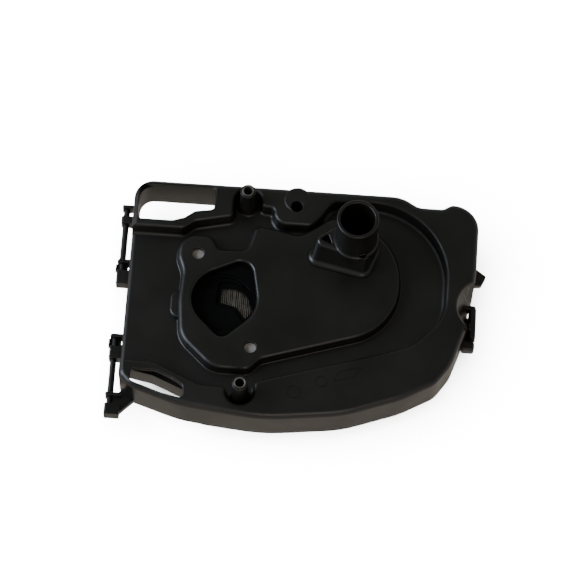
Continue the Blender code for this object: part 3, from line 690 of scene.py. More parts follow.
@dataclass
class BaseMoulding:
    """The moulded base: rim wall, sunk floor, raised plateau, air windows, bosses, scoop and lugs."""

    outline: Corners = (
        (0, 0, 9), (126, 0, 16), (134, -4.9, 9), (145.6, -4.9, 4), (149.6, -2.4, 4), (163, -3.4, 12.4),
        (162.6, -37, 20), (160, -62, 30), (153, -83.8, 22), (146, -93.8, 12), (130.2, -102.8, 40),
        (104, -112.4, 60), (67, -116.9, 90), (29, -112.6, 60), (5.5, -105, 10), (0, -99.5, 5),
    )
    plateau: Corners = (
        (22.6, -25.9, 8.5), (38.4, -25.9, 6), (41.5, -32.8, 3), (54.6, -32.2, 4), (57.8, -19.2, 3.4),
        (70, -20.9, 10), (79.5, -23, 8), (93, -13, 8), (127.4, -13, 30.8), (127.4, -67.1, 29),
        (64.5, -87.2, 6), (59.5, -92.9, 6), (42, -92.7, 13), (26.2, -78, 14), (24.4, -60, 40),
        (25.3, -45, 12), (22.6, -38, 8),
    )
    plenum: Corners = (
        (26.4, -30, 7), (36.6, -30, 4), (40.4, -34.6, 3), (56, -34.6, 3), (62, -27, 4), (80, -26.5, 6),
        (93, -16, 6), (125, -15.4, 28.6), (125, -65.4, 27), (63.5, -84.8, 5), (58.4, -90, 5),
        (43, -89.8, 12), (28.5, -76.5, 12), (26.4, -58, 40),
    )
    windows: Sequence[Corners] = (
        ((2.4, -2.2, 3), (38, -2.2, 1.5), (38, -13.6, 2), (29, -15.1, 3), (24.4, -18.6, 4), (19, -20.5, 3),
         (2.4, -20.5, 2)),
        ((5.6, -96.6, 1.5), (17, -96.6, 4), (24.5, -99.4, 4), (30, -103.2, 2), (30.4, -109.4, 1.5),
         (20, -107.2, 20), (5.6, -102.2, 2)),
    )
    partition: Corners = (
        (2, -91.6, 0.5), (16, -94.2, 6), (27.4, -99.0, 6), (37.6, -103.4, 0.5), (37, -104.8, 0.5),
        (26.8, -100.6, 7), (15.4, -95.8, 7), (2, -93.2, 0.5),
    )
    top_round: float = 3.0
    edge_round: float = 1.7
    floor_fillet: float = 1.7
    plateau_foot: float = 0.9
    plateau_round: float = 2.3
    boss_height: float = 18.0
    scoop_radius: float = 13.0

    def build(self) -> bpy.types.Object:
        """Builds and dresses the moulding.

        Returns:
            The finished piece.
        """
        outline = rounded(self.outline)
        base = block("base_moulding", outline, 0, TOP, self.top_round, steps=9)
        cut(base, block("hollow", grow(outline, -WALL), -1, TOP - PLATE, 1.0))
        join(base, block("floor", grow(rounded(self.recess(3.2)), 1.8), FLOOR_UNDER, TOP - 0.6))
        cut(base, mouth("recess", rounded(self.recess(-6)), RECESS, TOP, self.edge_round, self.floor_fillet))
        self.raise_plateau(base)
        self.round_left(base)
        self.sink_scoop(base)
        seat = rounded(FILTER_EDGE)
        inner, outer = grow(seat, GAP), grow(seat, 2.1)
        low, high = 1.0, FLOOR_UNDER + 0.8
        join(base, tube("seat", [(outer, low), (outer, high), (inner, high), (inner, low)]))
        join(base, block("partition", rounded(self.partition), 0.6, FLOOR_UNDER + 0.9))
        self.open_throat(base)
        for window in self.windows:
            cut(base, mouth("window", rounded(window), TOP - PLATE - 2, TOP, 0.7, steps=4))
        self.raise_bosses(base)
        self.mark_top(base)
        for name in HINGE_LUGS:
            self.add_hinge_lugs(base, name)
        self.add_latch_lugs(base)
        return present(base, MOULDED_NYLON, Body.BASE, "black_nylon", "base_shell")

    def recess(self, left: float) -> Corners:
        """Corners of the sunk floor, whose left side lies at the given x."""
        return (
            (left, -24.4, 0), (24, -24.4, 4), (29.4, -20.4, 4), (47.2, -16.4, 2.5), (47.5, -2.3, 5.9),
            (59.8, -2.3, 5.9), (60.2, -10.8, 2.3), (66, -10.8, 2.2), (66.4, -18.8, 6.2), (85.4, -18.8, 6),
            (93.5, -5.6, 8), (149, -4.0, 37.2), (148.6, -61, 24), (133.6, -76.4, 20), (107, -85, 100),
            (62.8, -98.8, 2.2), (62.6, -110.2, 5.8), (50.4, -110.2, 5.8), (49.9, -102.4, 2.2),
            (38, -102.2, 12), (27, -97.5, 10), (16, -92.3, 10), (left, -92, 0),
        )

    def raise_plateau(self, base: bpy.types.Object) -> None:
        """Adds the plateau with a filleted foot, its low side rib, and the plenum under it."""
        edge = rounded(self.plateau)
        turns = easing(7)
        foot = self.plateau_foot
        rings: list[Ring] = [(grow(edge, foot), RECESS - 1)]
        rings += [(grow(edge, foot * fall), RECESS + foot * rise) for rise, fall in turns]
        soft = self.plateau_round
        rings += [(grow(edge, -soft * rise), PLATEAU - soft * fall) for rise, fall in turns]
        join(base, loft("plateau", rings))
        rib = rounded(((20.8, -53.6, 4.5), (27, -53.6, 1.5), (27, -67.8, 1.5), (20.8, -67.8, 4.5)))
        join(base, block("rib", rib, RECESS - 1, RECESS + 3.2, 1.2))
        cut(base, block("plenum", rounded(self.plenum), FLOOR_UNDER - 1, PLATEAU - PLATE))

    def round_left(self, base: bpy.types.Object) -> None:
        """Rounds the edge where the sunk floor meets the hinge wall."""
        radius = 2.0
        profile = [(-1.0, RECESS - radius), (0.0, RECESS - radius)]
        profile += [(radius * rise, RECESS - radius * fall) for rise, fall in easing(8)[1:]]
        profile += [(radius, RECESS + 0.6), (-1.0, RECESS + 0.6)]
        cut(base, prism("left_edge", profile, -25.9, -90.5))

    def sink_scoop(self, base: bpy.types.Object) -> None:
        """Sinks the leaning finger scoop into the latch wall, with a wall of its own behind it."""
        def ring(radius: float, height: float, closing: float | None = None) -> np.ndarray:
            middle = (173.0 - 6.0 * height / TOP, -53.5)
            if closing is None:
                return circle(middle, radius, 120)
            half = math.acos((middle[0] - closing) / radius)
            turn = np.linspace(math.pi - half, math.pi + half, 41)
            return np.stack((middle[0] + radius * np.cos(turn), middle[1] + radius * np.sin(turn)), axis=1)

        thick = self.scoop_radius + WALL
        join(base, loft("backing", [(ring(thick, z, 159.4), z) for z in (0.6, TOP - 0.8)]))
        rings: list[Ring] = [(ring(self.scoop_radius, -1.0), -1.0)]
        for rise, fall in easing(5):
            z = TOP - 1.2 * fall
            rings.append((ring(self.scoop_radius + 1.2 * rise, z), z))
        rings.append((ring(self.scoop_radius + 1.25, TOP), TOP + 1))
        cut(base, loft("scoop", rings))

    def open_throat(self, base: bpy.types.Object) -> None:
        """Opens the throat with its soft lip, the stud holes and the spigot's seat."""
        turns = easing(6)
        lip = 1.6
        rings: list[Ring] = [(teardrop(), PLATEAU - PLATE - 1)]
        rings += [(teardrop(lip * rise), PLATEAU - lip * fall) for rise, fall in turns]
        rings.append((teardrop(lip + 0.05), PLATEAU + 3))
        cut(base, loft("throat", rings))
        for place in STUDS.values():
            bored(base, place, 2.85, PLATEAU - PLATE - 1, PLATEAU, 0.25)
        cut(base, block("foot_seat", spigot_foot(2.1), PLATEAU - 0.5, PLATEAU + 1))

    def raise_bosses(self, base: bpy.types.Object) -> None:
        """Raises the two tapered screw bosses, each with a fillet at its foot and a hole for its sleeve."""
        for place in BOSSES.values():
            turns = easing(5)
            rings: list[Ring] = [(circle(place, 5.4), RECESS - 0.5)]
            rings += [(circle(place, 4.1 + 1.3 * fall), RECESS + 1.6 * rise) for rise, fall in turns]
            high = RECESS + self.boss_height
            rings += [(circle(place, 3.6 - 0.4 * rise), high - 0.4 * fall) for rise, fall in turns]
            join(base, loft("boss", rings))
            bored(base, place, 2.87, FLOOR_UNDER - 1, high + 1)

    def mark_top(self, base: bpy.types.Object) -> None:
        """Adds the locator pad and hole, and the plain ring and frame that the tool's inserts leave."""
        join(base, block("pad", circle((LOCATOR[0], -6.0), 6.6), TOP - 6, TOP + 0.3, 1.3))
        bored(base, LOCATOR, 2.8, TOP - 8, TOP + 0.3, 0.3)
        for centre, radius in (((81.2, -103.0), 2.8), ((93.5, -97.0), 2.4)):
            wide = radius + 0.35
            ring = [(radius, TOP - 0.25), (wide, TOP - 0.25), (wide, TOP + 1), (radius, TOP + 1)]
            cut(base, turned("ring_mark", centre, ring))
        frame = np.array(((99.0, -96.6), (109.4, -93.6), (111.4, -88.6), (101.0, -91.6)))
        inner = grow(frame, -0.35)
        low, high = TOP - 0.2, TOP + 1
        cut(base, tube("frame_mark", [(frame, low), (frame, high), (inner, high), (inner, low)]))

    def add_hinge_lugs(self, base: bpy.types.Object, loop: str) -> None:
        """Adds one hinge loop's lugs and the blind hole for its bar."""
        lugs = HINGE_LUGS[loop]
        profile = rounded(((-6.0, 0.6, 0.8), (WALL / 2, 0.6, 0), (WALL / 2, 6.9, 0), (-6.0, 7.2, 1.1)))
        for near, far in lugs:
            join(base, prism("hinge_lug", profile, near, far, 0.35))
        if loop == "front":
            low = lugs[-1][1]
            tie = np.array(((-4.6, low), (-1.0, low), (7.6, -105.6), (1.4, -100.6), (-4.6, low + 5.6)))
            join(base, block("tie", tie, 0.9, 4.2, 0.4))
        far, near = bar_span(loop)
        cut(base, rod("pin_hole", PIN_X, PIN_Z, PIN_RADIUS + FIT, far - FIT, near + FIT))

    def add_latch_lugs(self, base: bpy.types.Object) -> None:
        """Adds the hooked locating lug and the two ears that hold the latch pin."""
        lug = rounded(((161, -28, 0), (161, -36.8, 0), (166.0, -36.4, 1.3), (168.2, -31.4, 0.9),
                       (163.6, -28.2, 1.2)))
        join(base, block("lug", lug, 0.6, 4.2, 0.4, Side.BOTH))
        ear = rounded(((158, 1.0, 0), (163.9, 1.0, 1.2), (163.9, 6.8, 1.4), (158, 6.8, 0)))
        for near, far, soft in ((-48.2, -50.0, 0.3), (-65.8, -70.6, 1.2)):
            join(base, prism("ear", ear, near, far, soft))
        cut(base, rod("latch_hole", LATCH_X, LATCH_Z, LATCH_RADIUS + FIT, -48.9, -69.4))


# ---------------- fittings


@dataclass
class BreatherSpigot:
    """Upright breather tube on a soft-cornered foot, with its seal."""

    foot_tall: float = 12.0
    tube_out: float = 9.7
    tube_bore: float = 8.0
    neck_out: float = 7.4
    neck_bore: float = 6.0
    mouth_at: float = PLATEAU + 33.0

    def build(self) -> None:
        """Builds and dresses the spigot and its seal."""
        base = PLATEAU - 0.5 + FIT
        top = base + self.foot_tall
        turns = quarter(8)
        rings: list[Ring] = [(spigot_foot(1.2), base), (spigot_foot(1.7), base + 0.35),
                             (spigot_foot(1.8), base + 0.8)]
        rings += [(spigot_foot(1.8 * (1 - math.sin(t)), 0.6 * t), base + 0.8 + 2.6 * (1 - math.cos(t)))
                  for t in turns[1:]]
        rings += [(spigot_foot(-0.1 - 1.2 * (1 - math.cos(t)), 3.9 + 0.45 * t), top - 1.6 * (1 - math.sin(t)))
                  for t in turns]
        spigot = loft("breather_tube", rings)
        join(spigot, self.tube(top))
        self.sink_pockets(spigot, top)
        low = PLATEAU - PLATE - 1.2
        join(spigot, block("neck", circle(SPIGOT, self.neck_out), low, base + 1))
        inside, outside = self.neck_out, self.neck_out + 1.5
        seat = [(inside, base - 0.5), (outside, base - 0.5), (outside, base + 1.4), (inside, base + 1.4)]
        cut(spigot, turned("seal_seat", SPIGOT, seat))
        narrow = circle(SPIGOT, self.neck_bore)
        bore: list[Ring] = [(narrow, low - 1), (narrow, base + 2), (circle(SPIGOT, self.tube_bore), base + 5)]
        bore += [(circle(SPIGOT, self.tube_bore + 0.5 * (1 - math.cos(t))),
                  self.mouth_at - 0.5 * (1 - math.sin(t))) for t in turns]
        bore.append((circle(SPIGOT, self.tube_bore + 0.5), self.mouth_at + 1))
        cut(spigot, loft("bore", bore))
        present(spigot, MOULDED_NYLON, Body.BASE, "black_nylon", "breather_spigot")
        section = circle((self.neck_out + 0.71, base + 0.65), 0.59, 16)
        present(turned("breather_ring", SPIGOT, section.tolist()), SEAL_RUBBER, Body.BASE, "seal_rubber",
                "breather_seal")

    def tube(self, top: float) -> bpy.types.Object:
        """The tube above the foot, with a fillet at its root and a rolled mouth."""
        turns = easing(8)
        rings: list[Ring] = [(circle(SPIGOT, self.tube_out + 1.2, 96), top - 6),
                             (circle(SPIGOT, self.tube_out + 1.2, 96), top - 0.2)]
        rings += [(circle(SPIGOT, self.tube_out + 1.2 * fall, 96), top - 0.2 + 2.0 * rise)
                  for rise, fall in turns[1:]]
        rings += [(circle(SPIGOT, self.tube_out - 0.6 * rise, 96), self.mouth_at - 0.6 * fall)
                  for rise, fall in turns]
        return loft("tube", rings)

    def sink_pockets(self, spigot: bpy.types.Object, top: float) -> None:
        """Sinks the triangular weight-saving pocket on the left and the small one at the right front."""
        for corners in (((-15.6, -5.0, 0.5), (-9.8, -6.2, 0.4), (-12.9, -1.6, 0.5)),
                        ((3.0, -9.0, 0.3), (6.4, -8.6, 0.4), (6.6, -6.6, 0.4))):
            shape = rounded([(*spigot_turn((corner[:2],))[0], corner[2]) for corner in corners])
            cut(spigot, mouth("pocket", shape, top - 4.5, top, 0.5, steps=4))


@dataclass
class IntakeHorn:
    """Well under the throat: a tube with stepped walls and a windowed baffle, its seal and the stud discs."""

    window: Corners = (
        (44.5, -48.9, 0.8), (50.6, -48.9, 7), (56.4, -52.6, 7), (59.3, -60.3, 0.8), (56.2, -64.6, 0.8),
        (51.8, -58.8, 6), (44.0, -57.0, 0.8),
    )
    steps: Sequence[tuple[float, float]] = ((14.6, 3.9), (13.6, 2.4))

    def build(self) -> None:
        """Builds and dresses the horn, its seal and the two stud seals."""
        under = PLATEAU - PLATE
        low = FLOOR_UNDER - 0.9
        horn = block("throat_horn", teardrop(3.0), under - 2.4, under - 1.1, 0.3)
        join(horn, block("barrel", teardrop(1.5), low, under - 1.7))
        rings: list[Ring] = [(teardrop(-0.6), low + 5.4), (teardrop(0.0), under + 1)]
        cut(horn, loft("well", rings))
        for radius, height in self.steps:
            cut(horn, mouth("step", circle((45.2, -58.6), radius, 90), low + height, low + 6, 0.3, 0.4, 3))
        cut(horn, block("sump", grow(rounded(self.window), 2.2), low + 1.3, low + 6))
        cut(horn, block("baffle_window", rounded(self.window), low - 1, low + 3))
        # The horn takes the darker nylon: painted shade inside the throat's well
        present(horn, SHADED_DULL_NYLON, Body.BASE, "black_nylon", "intake_horn")
        outer, inner = teardrop(2.8), teardrop(0.4)
        seal = block("horn_gasket", outer, under - 0.9, under - 0.2, 0.2)
        cut(seal, block("opening", inner, under - 2, under + 1))
        present(seal, SEAL_RUBBER, Body.BASE, "seal_rubber", "horn_seal")
        # Pale discs just under the stud holes: painted light, standing in for the light that falls through
        # the holes
        for name, place in STUDS.items():
            outline = circle(place, 3.85)
            disc = block("stud_disc_" + name, outline, under - 1.7, under - 0.2, 0.3, Side.BOTH, 4)
            present(disc, PALE_FOAM_PAINTED_LIGHT, Body.BASE, "pale_foam", "stud_seal_" + name)


@dataclass
class Fixings:
    """Screw sleeves in the bosses and the bars of the two hinge loops."""

    def build(self) -> None:
        """Builds and dresses the sleeves and bars."""
        for name, place in BOSSES.items():
            low, high = FLOOR_UNDER, RECESS + 18.4
            profile = [(2.05, low + 0.2), (2.2, low), (2.6, low), (2.75, low + 0.15), (2.75, high - 0.2),
                       (2.69, high - 0.06), (2.55, high), (2.25, high), (2.11, high - 0.06),
                       (2.05, high - 0.2)]
            present(turned("sleeve_" + name, place, profile), ZINC_STEEL, Body.BASE, "zinc_steel",
                    "screw_sleeve_" + name)
        for name in HINGE_LUGS:
            far, near = bar_span(name)
            bar = rod("loop_bar_" + name, PIN_X, PIN_Z, PIN_RADIUS, far, near, 0.25)
            present(bar, MOULDED_NYLON, Body.BASE, "black_nylon", "hinge_bar_" + name)


@dataclass
class PanelFilter:
    """Panel filter: cast rim, wire screen, folded paper, foam pre-filter and its grid."""

    rim_wide: float = 5.0
    low: float = COVER_FOOT + 2.1
    top: float = FLOOR_UNDER - GAP
    fold_pitch: float = 2.6
    paper: float = 0.45
    wire: float = 0.45
    wire_pitch: float = 0.9
    foam: float = 3.4
    grid: float = 1.0
    outer: np.ndarray = field(default_factory=lambda: rounded(FILTER_EDGE, 10))

    def build(self) -> None:
        """Builds and dresses every layer, from the rim to the grid."""
        inner = grow(self.outer, -self.rim_wide)
        loose = grow(inner, -GAP)
        self.build_rim(inner)
        screen_top = self.top - 1.4
        self.build_screen(loose, screen_top - 0.6, screen_top)
        foam_low = self.low + self.grid + GAP
        self.build_paper(loose, foam_low + self.foam + GAP, screen_top - 0.6 - GAP)
        foam = block("foam_sheet", loose, foam_low, foam_low + self.foam, 0.9, Side.BOTH)
        present(foam, OPEN_FOAM, Body.BASE, "grey_foam", "foam_prefilter")
        self.build_grid(loose, self.low, self.low + self.grid)

    def build_rim(self, inner: np.ndarray) -> None:
        """The cast rim, with soft edges and a sealing bead along its top."""
        middle = (self.outer + inner) / 2
        rings: list[Ring] = [(grow(self.outer, -0.5), self.low), (self.outer, self.low + 0.5),
                             (self.outer, self.top - 0.9), (grow(self.outer, -0.9), self.top - 0.25)]
        rings += [(grow(middle, 1.0 * math.cos(t)), self.top - 0.5 + 0.5 * math.sin(t))
                  for t in np.linspace(0.3, math.pi - 0.3, 7)]
        rings += [(grow(inner, 0.9), self.top - 0.25), (inner, self.top - 0.9), (inner, self.low + 0.5),
                  (grow(inner, 0.5), self.low)]
        present(tube("filter_rim", rings), URETHANE, Body.BASE, "filter_urethane", "filter_seal_frame")

    def build_screen(self, loose: np.ndarray, low: float, high: float) -> None:
        """Crossed wires trimmed to the rim, with a border."""
        xs, ys = loose[:, 0], loose[:, 1]
        middle = ((xs.min() + xs.max()) / 2, (ys.min() + ys.max()) / 2)
        across = int((xs.max() - xs.min()) / self.wire_pitch)
        along = int((ys.max() - ys.min()) / self.wire_pitch)
        half = (high - low) / 2
        edge = grow(loose, -1.2)
        screen = tube("wire_screen", [(loose, low), (loose, high), (edge, high), (edge, low)])
        inside = grow(loose, -1.0)
        for name, count, pitch, size, start in (
            ("long_wires", along, (0, self.wire_pitch, 0), (200, self.wire, half),
             (middle[0], ys.min() + 1.4, low + half / 2)),
            ("short_wires", across, (self.wire_pitch, 0, 0), (self.wire, 200, half),
             (xs.min() + 1.4, middle[1], high - half / 2)),
        ):
            wires = Rows.lay(name, count - 2, pitch, size, start, ZINC_STEEL)
            boolean(wires, block("trim", inside, low - 1, high + 1), "INTERSECT")
            gather(screen, wires)
        present(screen, ZINC_STEEL, Body.BASE, "zinc_steel", "filter_screen")

    def build_paper(self, loose: np.ndarray, low: float, high: float) -> None:
        """The folded paper, as one zigzag sheet with rounded folds."""
        left, right = loose[:, 0].min() + 1.0, loose[:, 0].max() - 1.0
        folds = 2 * round((right - left) / self.fold_pitch)
        steps = 4
        rows = []
        for index in range(folds * steps + 1):
            x = left + (right - left) * index / (folds * steps)
            wave = math.sin(math.pi * (index / steps - 0.5))
            crest = math.copysign(abs(wave) ** 0.45, wave) if index % steps else wave
            rows.append((x, (low + high) / 2 + crest * ((high - low) / 2 - 2.2)))
        points, faces = [], []
        thick = 4.2
        for x, z in rows:
            near, far = span_at(loose, x)
            points += [(x, near, z - thick / 2), (x, far, z - thick / 2), (x, far, z + thick / 2),
                       (x, near, z + thick / 2)]
        for index in range(len(rows) - 1):
            here = 4 * index
            faces += [(here + i, here + (i + 1) % 4, here + 4 + (i + 1) % 4, here + 4 + i) for i in range(4)]
        faces += [(3, 2, 1, 0), tuple(4 * (len(rows) - 1) + i for i in range(4))]
        paper = solid("folded_paper", points, faces)
        present(paper, FILTER_PAPER, Body.BASE, "filter_paper", "filter_pleats", sharp=80)

    def build_grid(self, loose: np.ndarray, low: float, high: float) -> None:
        """The open grid that keeps the foam in place."""
        xs, ys = loose[:, 0], loose[:, 1]
        middle = ((xs.min() + xs.max()) / 2, (ys.min() + ys.max()) / 2)
        grid = Rows.lay("foam_grid", 13, (9.6, 0, 0), (1.8, 200, high - low),
                        (xs.min() + 5, middle[1], (low + high) / 2), MOULDED_NYLON)
        cross = Rows.lay("grid_cross", 8, (0, 9.6, 0), (200, 1.8, high - low - 0.12),
                         (middle[0], ys.min() + 5, (low + high) / 2), MOULDED_NYLON)
        join(grid, cross)
        boolean(grid, block("trim", grow(loose, -0.6), low - 1, high + 1), "INTERSECT")
        edge = grow(loose, -3.0)
        join(grid, tube("border", [(loose, low), (loose, high), (edge, high), (edge, low)]))
        present(grid, MOULDED_NYLON, Body.BASE, "black_nylon", "prefilter_grid")


# ---------------- cover and latch


@dataclass
class Cover:
    """Dished cover with a flange, stiffening channels under it, its gasket and the hinge hooks."""

    edge: Sequence[tuple[float, float, float, float, float]] = (
        (1, -14, 5, 2.6, -16), (41, -14, 3, 43, -17.6), (41, -0.8, 5, 43, -3.4), (126, -0.8, 14, 125, -3.4),
        (135, -6.4, 9, 133, -8.6), (159.6, -6.2, 13, 152, -9), (158.2, -60, 25, 150.6, -57),
        (143.4, -91.6, 14, 136, -85), (103.6, -110.8, 50, 101, -102), (67, -115.6, 80, 66, -106.6),
        (36, -112.6, 5, 38, -104.6), (36, -98, 3, 38, -96.4), (1, -82.5, 5, 2.6, -81),
    )

    def ring(self, blend: float, extra: float = 0.0) -> np.ndarray:
        """The outline between the flange (0) and the foot (1), grown by extra."""
        flange = rounded([(x, y, r) for x, y, r, _, _ in self.edge], 14)
        foot = rounded([(x, y, r) for _, _, r, x, y in self.edge], 14)
        return grow(flange * (1 - blend) + foot * blend, extra)

    def build(self) -> None:
        """Builds and dresses the cover and its gasket."""
        low = COVER_FOOT
        turns = easing(6)
        rings: list[Ring] = [(self.ring(1, -1.9 * fall), low + 1.9 * rise) for rise, fall in turns]
        rings += [(self.ring(0, -0.9), FLANGE_UNDER - 0.4), (self.ring(0, -0.5), FLANGE_UNDER),
                  (self.ring(0, -0.1), FLANGE_UNDER + 0.1), (self.ring(0), FLANGE_UNDER + 0.35),
                  (self.ring(0), FLANGE_TOP - 0.2), (self.ring(0, -0.2), FLANGE_TOP)]
        cover = loft("cover_dish", rings)
        cut(cover, loft("dome", [(self.ring(1, -2.4), low + 1.8), (self.ring(1, -2.2), low + 2.2),
                                 (self.ring(0, -2.9), FLANGE_UNDER), (self.ring(0, -2.9), FLANGE_TOP + 2)]))
        channels = Rows.lay("channels", 7, (14.0, 0, 0), (2.4, 46, 1.4), (38, -52, low + 0.1), MOULDED_NYLON)
        cut(cover, channels)
        for name, first, second in (("rear", 2, 3), ("front", 0, 1)):
            lugs = HINGE_LUGS[name]
            self.add_hook(cover, lugs[first][1] - 0.3, lugs[second][0] + 0.3)
        present(cover, MOULDED_NYLON, Body.COVER, "black_nylon", "cover_shell")
        outer, inner = self.ring(0, -0.7), self.ring(0, -2.1)
        seal = tube("cover_cord", [(outer, FLANGE_TOP + 0.05), (outer, -0.6), (grow(outer, -0.3), -GAP),
                                   (grow(inner, 0.3), -GAP), (inner, -0.6), (inner, FLANGE_TOP + 0.05)])
        present(seal, SEAL_RUBBER, Body.COVER, "seal_rubber", "cover_gasket")

    def add_hook(self, cover: bpy.types.Object, high: float, low: float) -> None:
        """Adds one open hook that turns on a hinge bar between two lugs."""
        hollow, outer = PIN_RADIUS + 0.3, PIN_RADIUS + 1.5
        turn = np.radians(np.linspace(150, 360, 31))
        profile = [(PIN_X + outer * math.cos(a), PIN_Z + outer * math.sin(a)) for a in turn]
        profile += [(PIN_X + hollow * math.cos(a), PIN_Z + hollow * math.sin(a)) for a in turn[::-1]]
        join(cover, prism("hook", profile, low, high))
        left, right = PIN_X - 0.9, PIN_X + 2.1
        arm = [(left, FLANGE_UNDER + 0.7), (left + 1, FLANGE_UNDER + 0.2), (2.4, FLANGE_UNDER + 0.2),
               (2.4, FLANGE_TOP - 0.2), (right, FLANGE_TOP - 0.2), (right, PIN_Z - hollow - 0.5),
               (left, PIN_Z - hollow - 0.5)]
        join(cover, prism("arm", arm, low, high))


@dataclass
class Latch:
    """Sprung latch lever with a ridged thumb pad, its pin and its coil spring."""

    near: float = -50.4
    far: float = -65.4
    wire: float = 0.5
    coils: int = 5

    def build(self) -> None:
        """Builds and dresses the lever, pin and spring."""
        hollow = LATCH_RADIUS + 0.3
        lever = rod("latch_arm", LATCH_X, LATCH_Z, hollow + 0.7, self.near, self.far, 0.2, 48)
        x, z = LATCH_X, LATCH_Z
        blade = rounded(((x - 0.7, z, 0), (x - 0.7, -2.6, 1), (x - 2.8, -3.6, 0.2), (x - 2.6, -4.6, 0.2),
                         (x + 0.5, -5.4, 0.4), (x + 1.0, -4.4, 0.4), (x + 1.0, z + 1.2, 0.4),
                         (x + 1.7, z + 2.8, 0.3), (x + 1.7, z + 4.0, 0.3), (x - 0.9, z + 4.4, 0.3),
                         (x - 0.9, z + 3.2, 0.2), (x - 0.6, z + 1.6, 0.3)))
        join(lever, prism("blade", blade, self.near, self.far, 0.2))
        middle = (self.near + self.far) / 2
        first, last = middle - 2.6, middle + 2.6
        slot = np.array(((x - 4, first), (x + 4, first), (x + 4, last), (x - 4, last)))
        cut(lever, block("slot", slot, z - 2.7, z + 2.7))
        cut(lever, rod("hole", x, z, hollow, self.near + 1, self.far - 1))
        grooves = Rows.lay("grip_grooves", 9, (0, 1.5, 0), (6, 0.5, 0.5), (x, self.far + 1.5, z + 4.4),
                           MOULDED_NYLON)
        cut(lever, grooves)
        present(lever, MOULDED_NYLON, Body.LATCH, "black_nylon", "latch_lever")
        pin = rod("latch_axle", x, z, LATCH_RADIUS, -49.0, -69.2, 0.15)
        present(pin, ZINC_STEEL, Body.BASE, "zinc_steel", "latch_pin")
        self.build_spring(middle)

    def build_spring(self, middle: float) -> None:
        """The torsion coil round the pin."""
        steps, sides = 32, 12
        radius = LATCH_RADIUS + GAP + self.wire / 2
        count = 4 * steps
        points, faces = [], []
        for index in range(count + 1):
            turn = 2 * math.pi * index / steps
            y = middle + (index / count - 0.5) * 4.2
            for side in range(sides):
                way = 2 * math.pi * side / sides
                reach = radius + self.wire / 2 * math.cos(way)
                points.append((LATCH_X + reach * math.cos(turn), y + self.wire / 2 * math.sin(way),
                               LATCH_Z + reach * math.sin(turn)))
        for index in range(count):
            low = index * sides
            high = low + sides
            faces += [(low + side, high + side, high + (side + 1) % sides, low + (side + 1) % sides)
                      for side in range(sides)]
        faces += [tuple(range(sides)), tuple(range(count * sides, (count + 1) * sides))[::-1]]
        present(solid("latch_coil", points, faces), ZINC_STEEL, Body.BASE, "zinc_steel", "latch_spring")


# ---------------- the studio


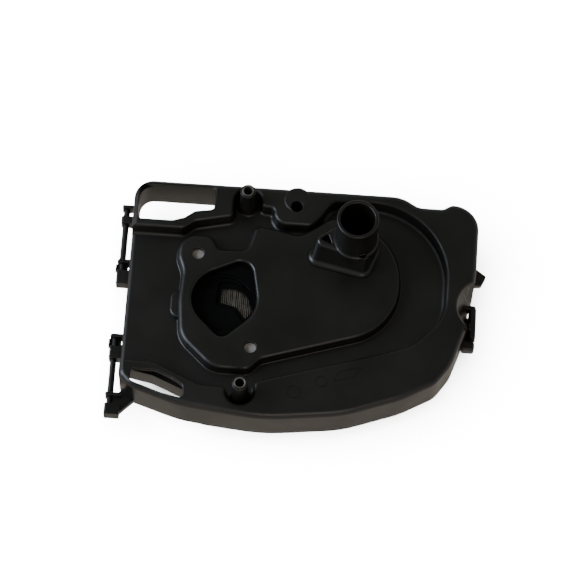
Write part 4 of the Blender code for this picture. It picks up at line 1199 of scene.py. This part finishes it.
@dataclass(frozen=True)
class Studio:
    """Plain white floor, soft window light from the left and a long lens from the front and above."""

    elevation: float = 66.8
    azimuth: float = 0.9
    roll: float = 3.0
    shift_right_mm: float = -2.8
    shift_up_mm: float = 6.5
    distance_mm: float = 1395.0
    lens_mm: float = 186.2069
    sensor_mm: float = 36.0
    target_mm: tuple[float, float, float] = (-1.25, -0.3, 33.5)

    def build(self) -> None:
        """Makes the camera, the floor and the lights."""
        self.camera()
        floor = self.floor()
        self.sky()
        self.lamp("window", (-1.5, -0.1, 1.05), 1.1, 34.0, "dfeaff")
        self.lamp("room", (0.3, -1.5, 1.5), 0.9, 7.0, "fff1e0")
        self.floor_sun(floor)

    def camera(self) -> None:
        """Places the camera at the viewing angle, with its roll."""
        rise, side, roll = (math.radians(value) for value in (self.elevation, self.azimuth, self.roll))
        back = Vector((math.sin(side) * math.cos(rise), -math.cos(side) * math.cos(rise), math.sin(rise)))
        right = (-back).cross(Vector((0, 0, 1))).normalized()
        up = right.cross(-back)
        level, upright = right, up
        right = level * math.cos(roll) + upright * math.sin(roll)
        up = upright * math.cos(roll) - level * math.sin(roll)
        target = (Vector(self.target_mm) + right * self.shift_right_mm + up * self.shift_up_mm) * MM
        data = bpy.data.cameras.new("camera")
        data.sensor_width = self.sensor_mm
        data.lens = self.lens_mm
        data.clip_end = 20.0
        camera = bpy.data.objects.new("camera", data)
        turn = Matrix((right, up, back)).transposed().to_4x4()
        camera.matrix_world = Matrix.Translation(target + back * self.distance_mm * MM) @ turn
        bpy.context.scene.collection.objects.link(camera)
        bpy.context.scene.camera = camera

    def floor(self) -> bpy.types.Object:
        """A large white sheet of paper under the object."""
        mesh = bpy.data.meshes.new("floor")
        half = 3.0
        corners = [(-half, -half, 0), (half, -half, 0), (half, half, 0), (-half, half, 0)]
        mesh.from_pydata(corners, [], [(0, 1, 2, 3)])
        floor = bpy.data.objects.new("floor", mesh)
        holder = bpy.data.collections.new("stage")
        bpy.context.scene.collection.children.link(holder)
        holder.objects.link(floor)
        made = bpy.data.materials.new("white_paper")
        made.use_nodes = True
        shader = made.node_tree.nodes["Principled BSDF"]
        shader.inputs["Base Color"].default_value = linear("f6f6f6")
        shader.inputs["Roughness"].default_value = 0.9
        mesh.materials.append(made)
        floor.location.z = -0.0005
        floor.visible_diffuse = False
        floor.visible_glossy = False
        return floor

    def sky(self) -> None:
        """Dim from overhead, brighter from low down, where the paper's own glow comes from."""
        world = bpy.data.worlds.new("world")
        bpy.context.scene.world = world
        world.use_nodes = True
        tree = world.node_tree
        way = add_node(tree, "ShaderNodeTexCoord").outputs["Generated"]
        rise = add_node(tree, "ShaderNodeSeparateXYZ", links={"Vector": way}).outputs["Z"]
        span = {"From Min": -1.0, "From Max": 1.0}
        share = add_node(tree, "ShaderNodeMapRange", span, {"Value": rise}).outputs["Result"]
        ramp = add_node(tree, "ShaderNodeValToRGB", links={"Fac": share})
        stops = ((0.0, 0.55, "fff4e6"), (0.46, 0.75, "fff4e6"), (0.52, 0.7, "eef3ff"), (0.75, 0.32, "f6f6f0"),
                 (1.0, 0.22, "f4f4ea"))
        for index, (place, level, colour) in enumerate(stops):
            stop = ramp.color_ramp.elements[index] if index < 2 else ramp.color_ramp.elements.new(place)
            stop.position = place
            stop.color = (*(value * level for value in linear(colour)[:3]), 1.0)
        sky = world.node_tree.nodes["Background"]
        sky.inputs["Strength"].default_value = 1.0
        tree.links.new(ramp.outputs["Color"], sky.inputs["Color"])

    def lamp(self, name: str, place: tuple[float, float, float], size: float, power: float,
             colour: str) -> None:
        """Adds one area lamp aimed at the object.

        Args:
            name: The lamp's name.
            place: Where it stands, in metres.
            size: Side of its square, in metres.
            power: Its power in watts.
            colour: Its sRGB hex colour.
        """
        data = bpy.data.lights.new(name, "AREA")
        data.shape = "SQUARE"
        data.size = size
        data.energy = power
        data.color = linear(colour)[:3]
        lamp = bpy.data.objects.new(name, data)
        lamp.location = place
        lamp.rotation_euler = (-Vector(place)).to_track_quat("-Z", "Y").to_euler()
        bpy.context.scene.collection.objects.link(lamp)

    def floor_sun(self, floor: bpy.types.Object) -> None:
        """A broad light that falls on the paper alone, so that it burns out to white."""
        data = bpy.data.lights.new("paper_light", "SUN")
        data.energy = 60.0
        data.angle = math.radians(75)
        lamp = bpy.data.objects.new("paper_light", data)
        lamp.rotation_euler = (math.radians(12), math.radians(-16), 0)
        bpy.context.scene.collection.objects.link(lamp)
        lamp.light_linking.receiver_collection = floor.users_collection[0]


def main() -> None:
    """Builds each sub-assembly in order and reports it."""
    logging.basicConfig(level=logging.INFO, format="%(message)s")
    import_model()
    builders = (BaseMoulding(), BreatherSpigot(), IntakeHorn(), Fixings(), PanelFilter(), Cover(), Latch())
    for builder in builders:
        LOG.info("building %s", type(builder).__name__)
        builder.build()
    Studio().build()


if __name__ == "__main__":
    main()
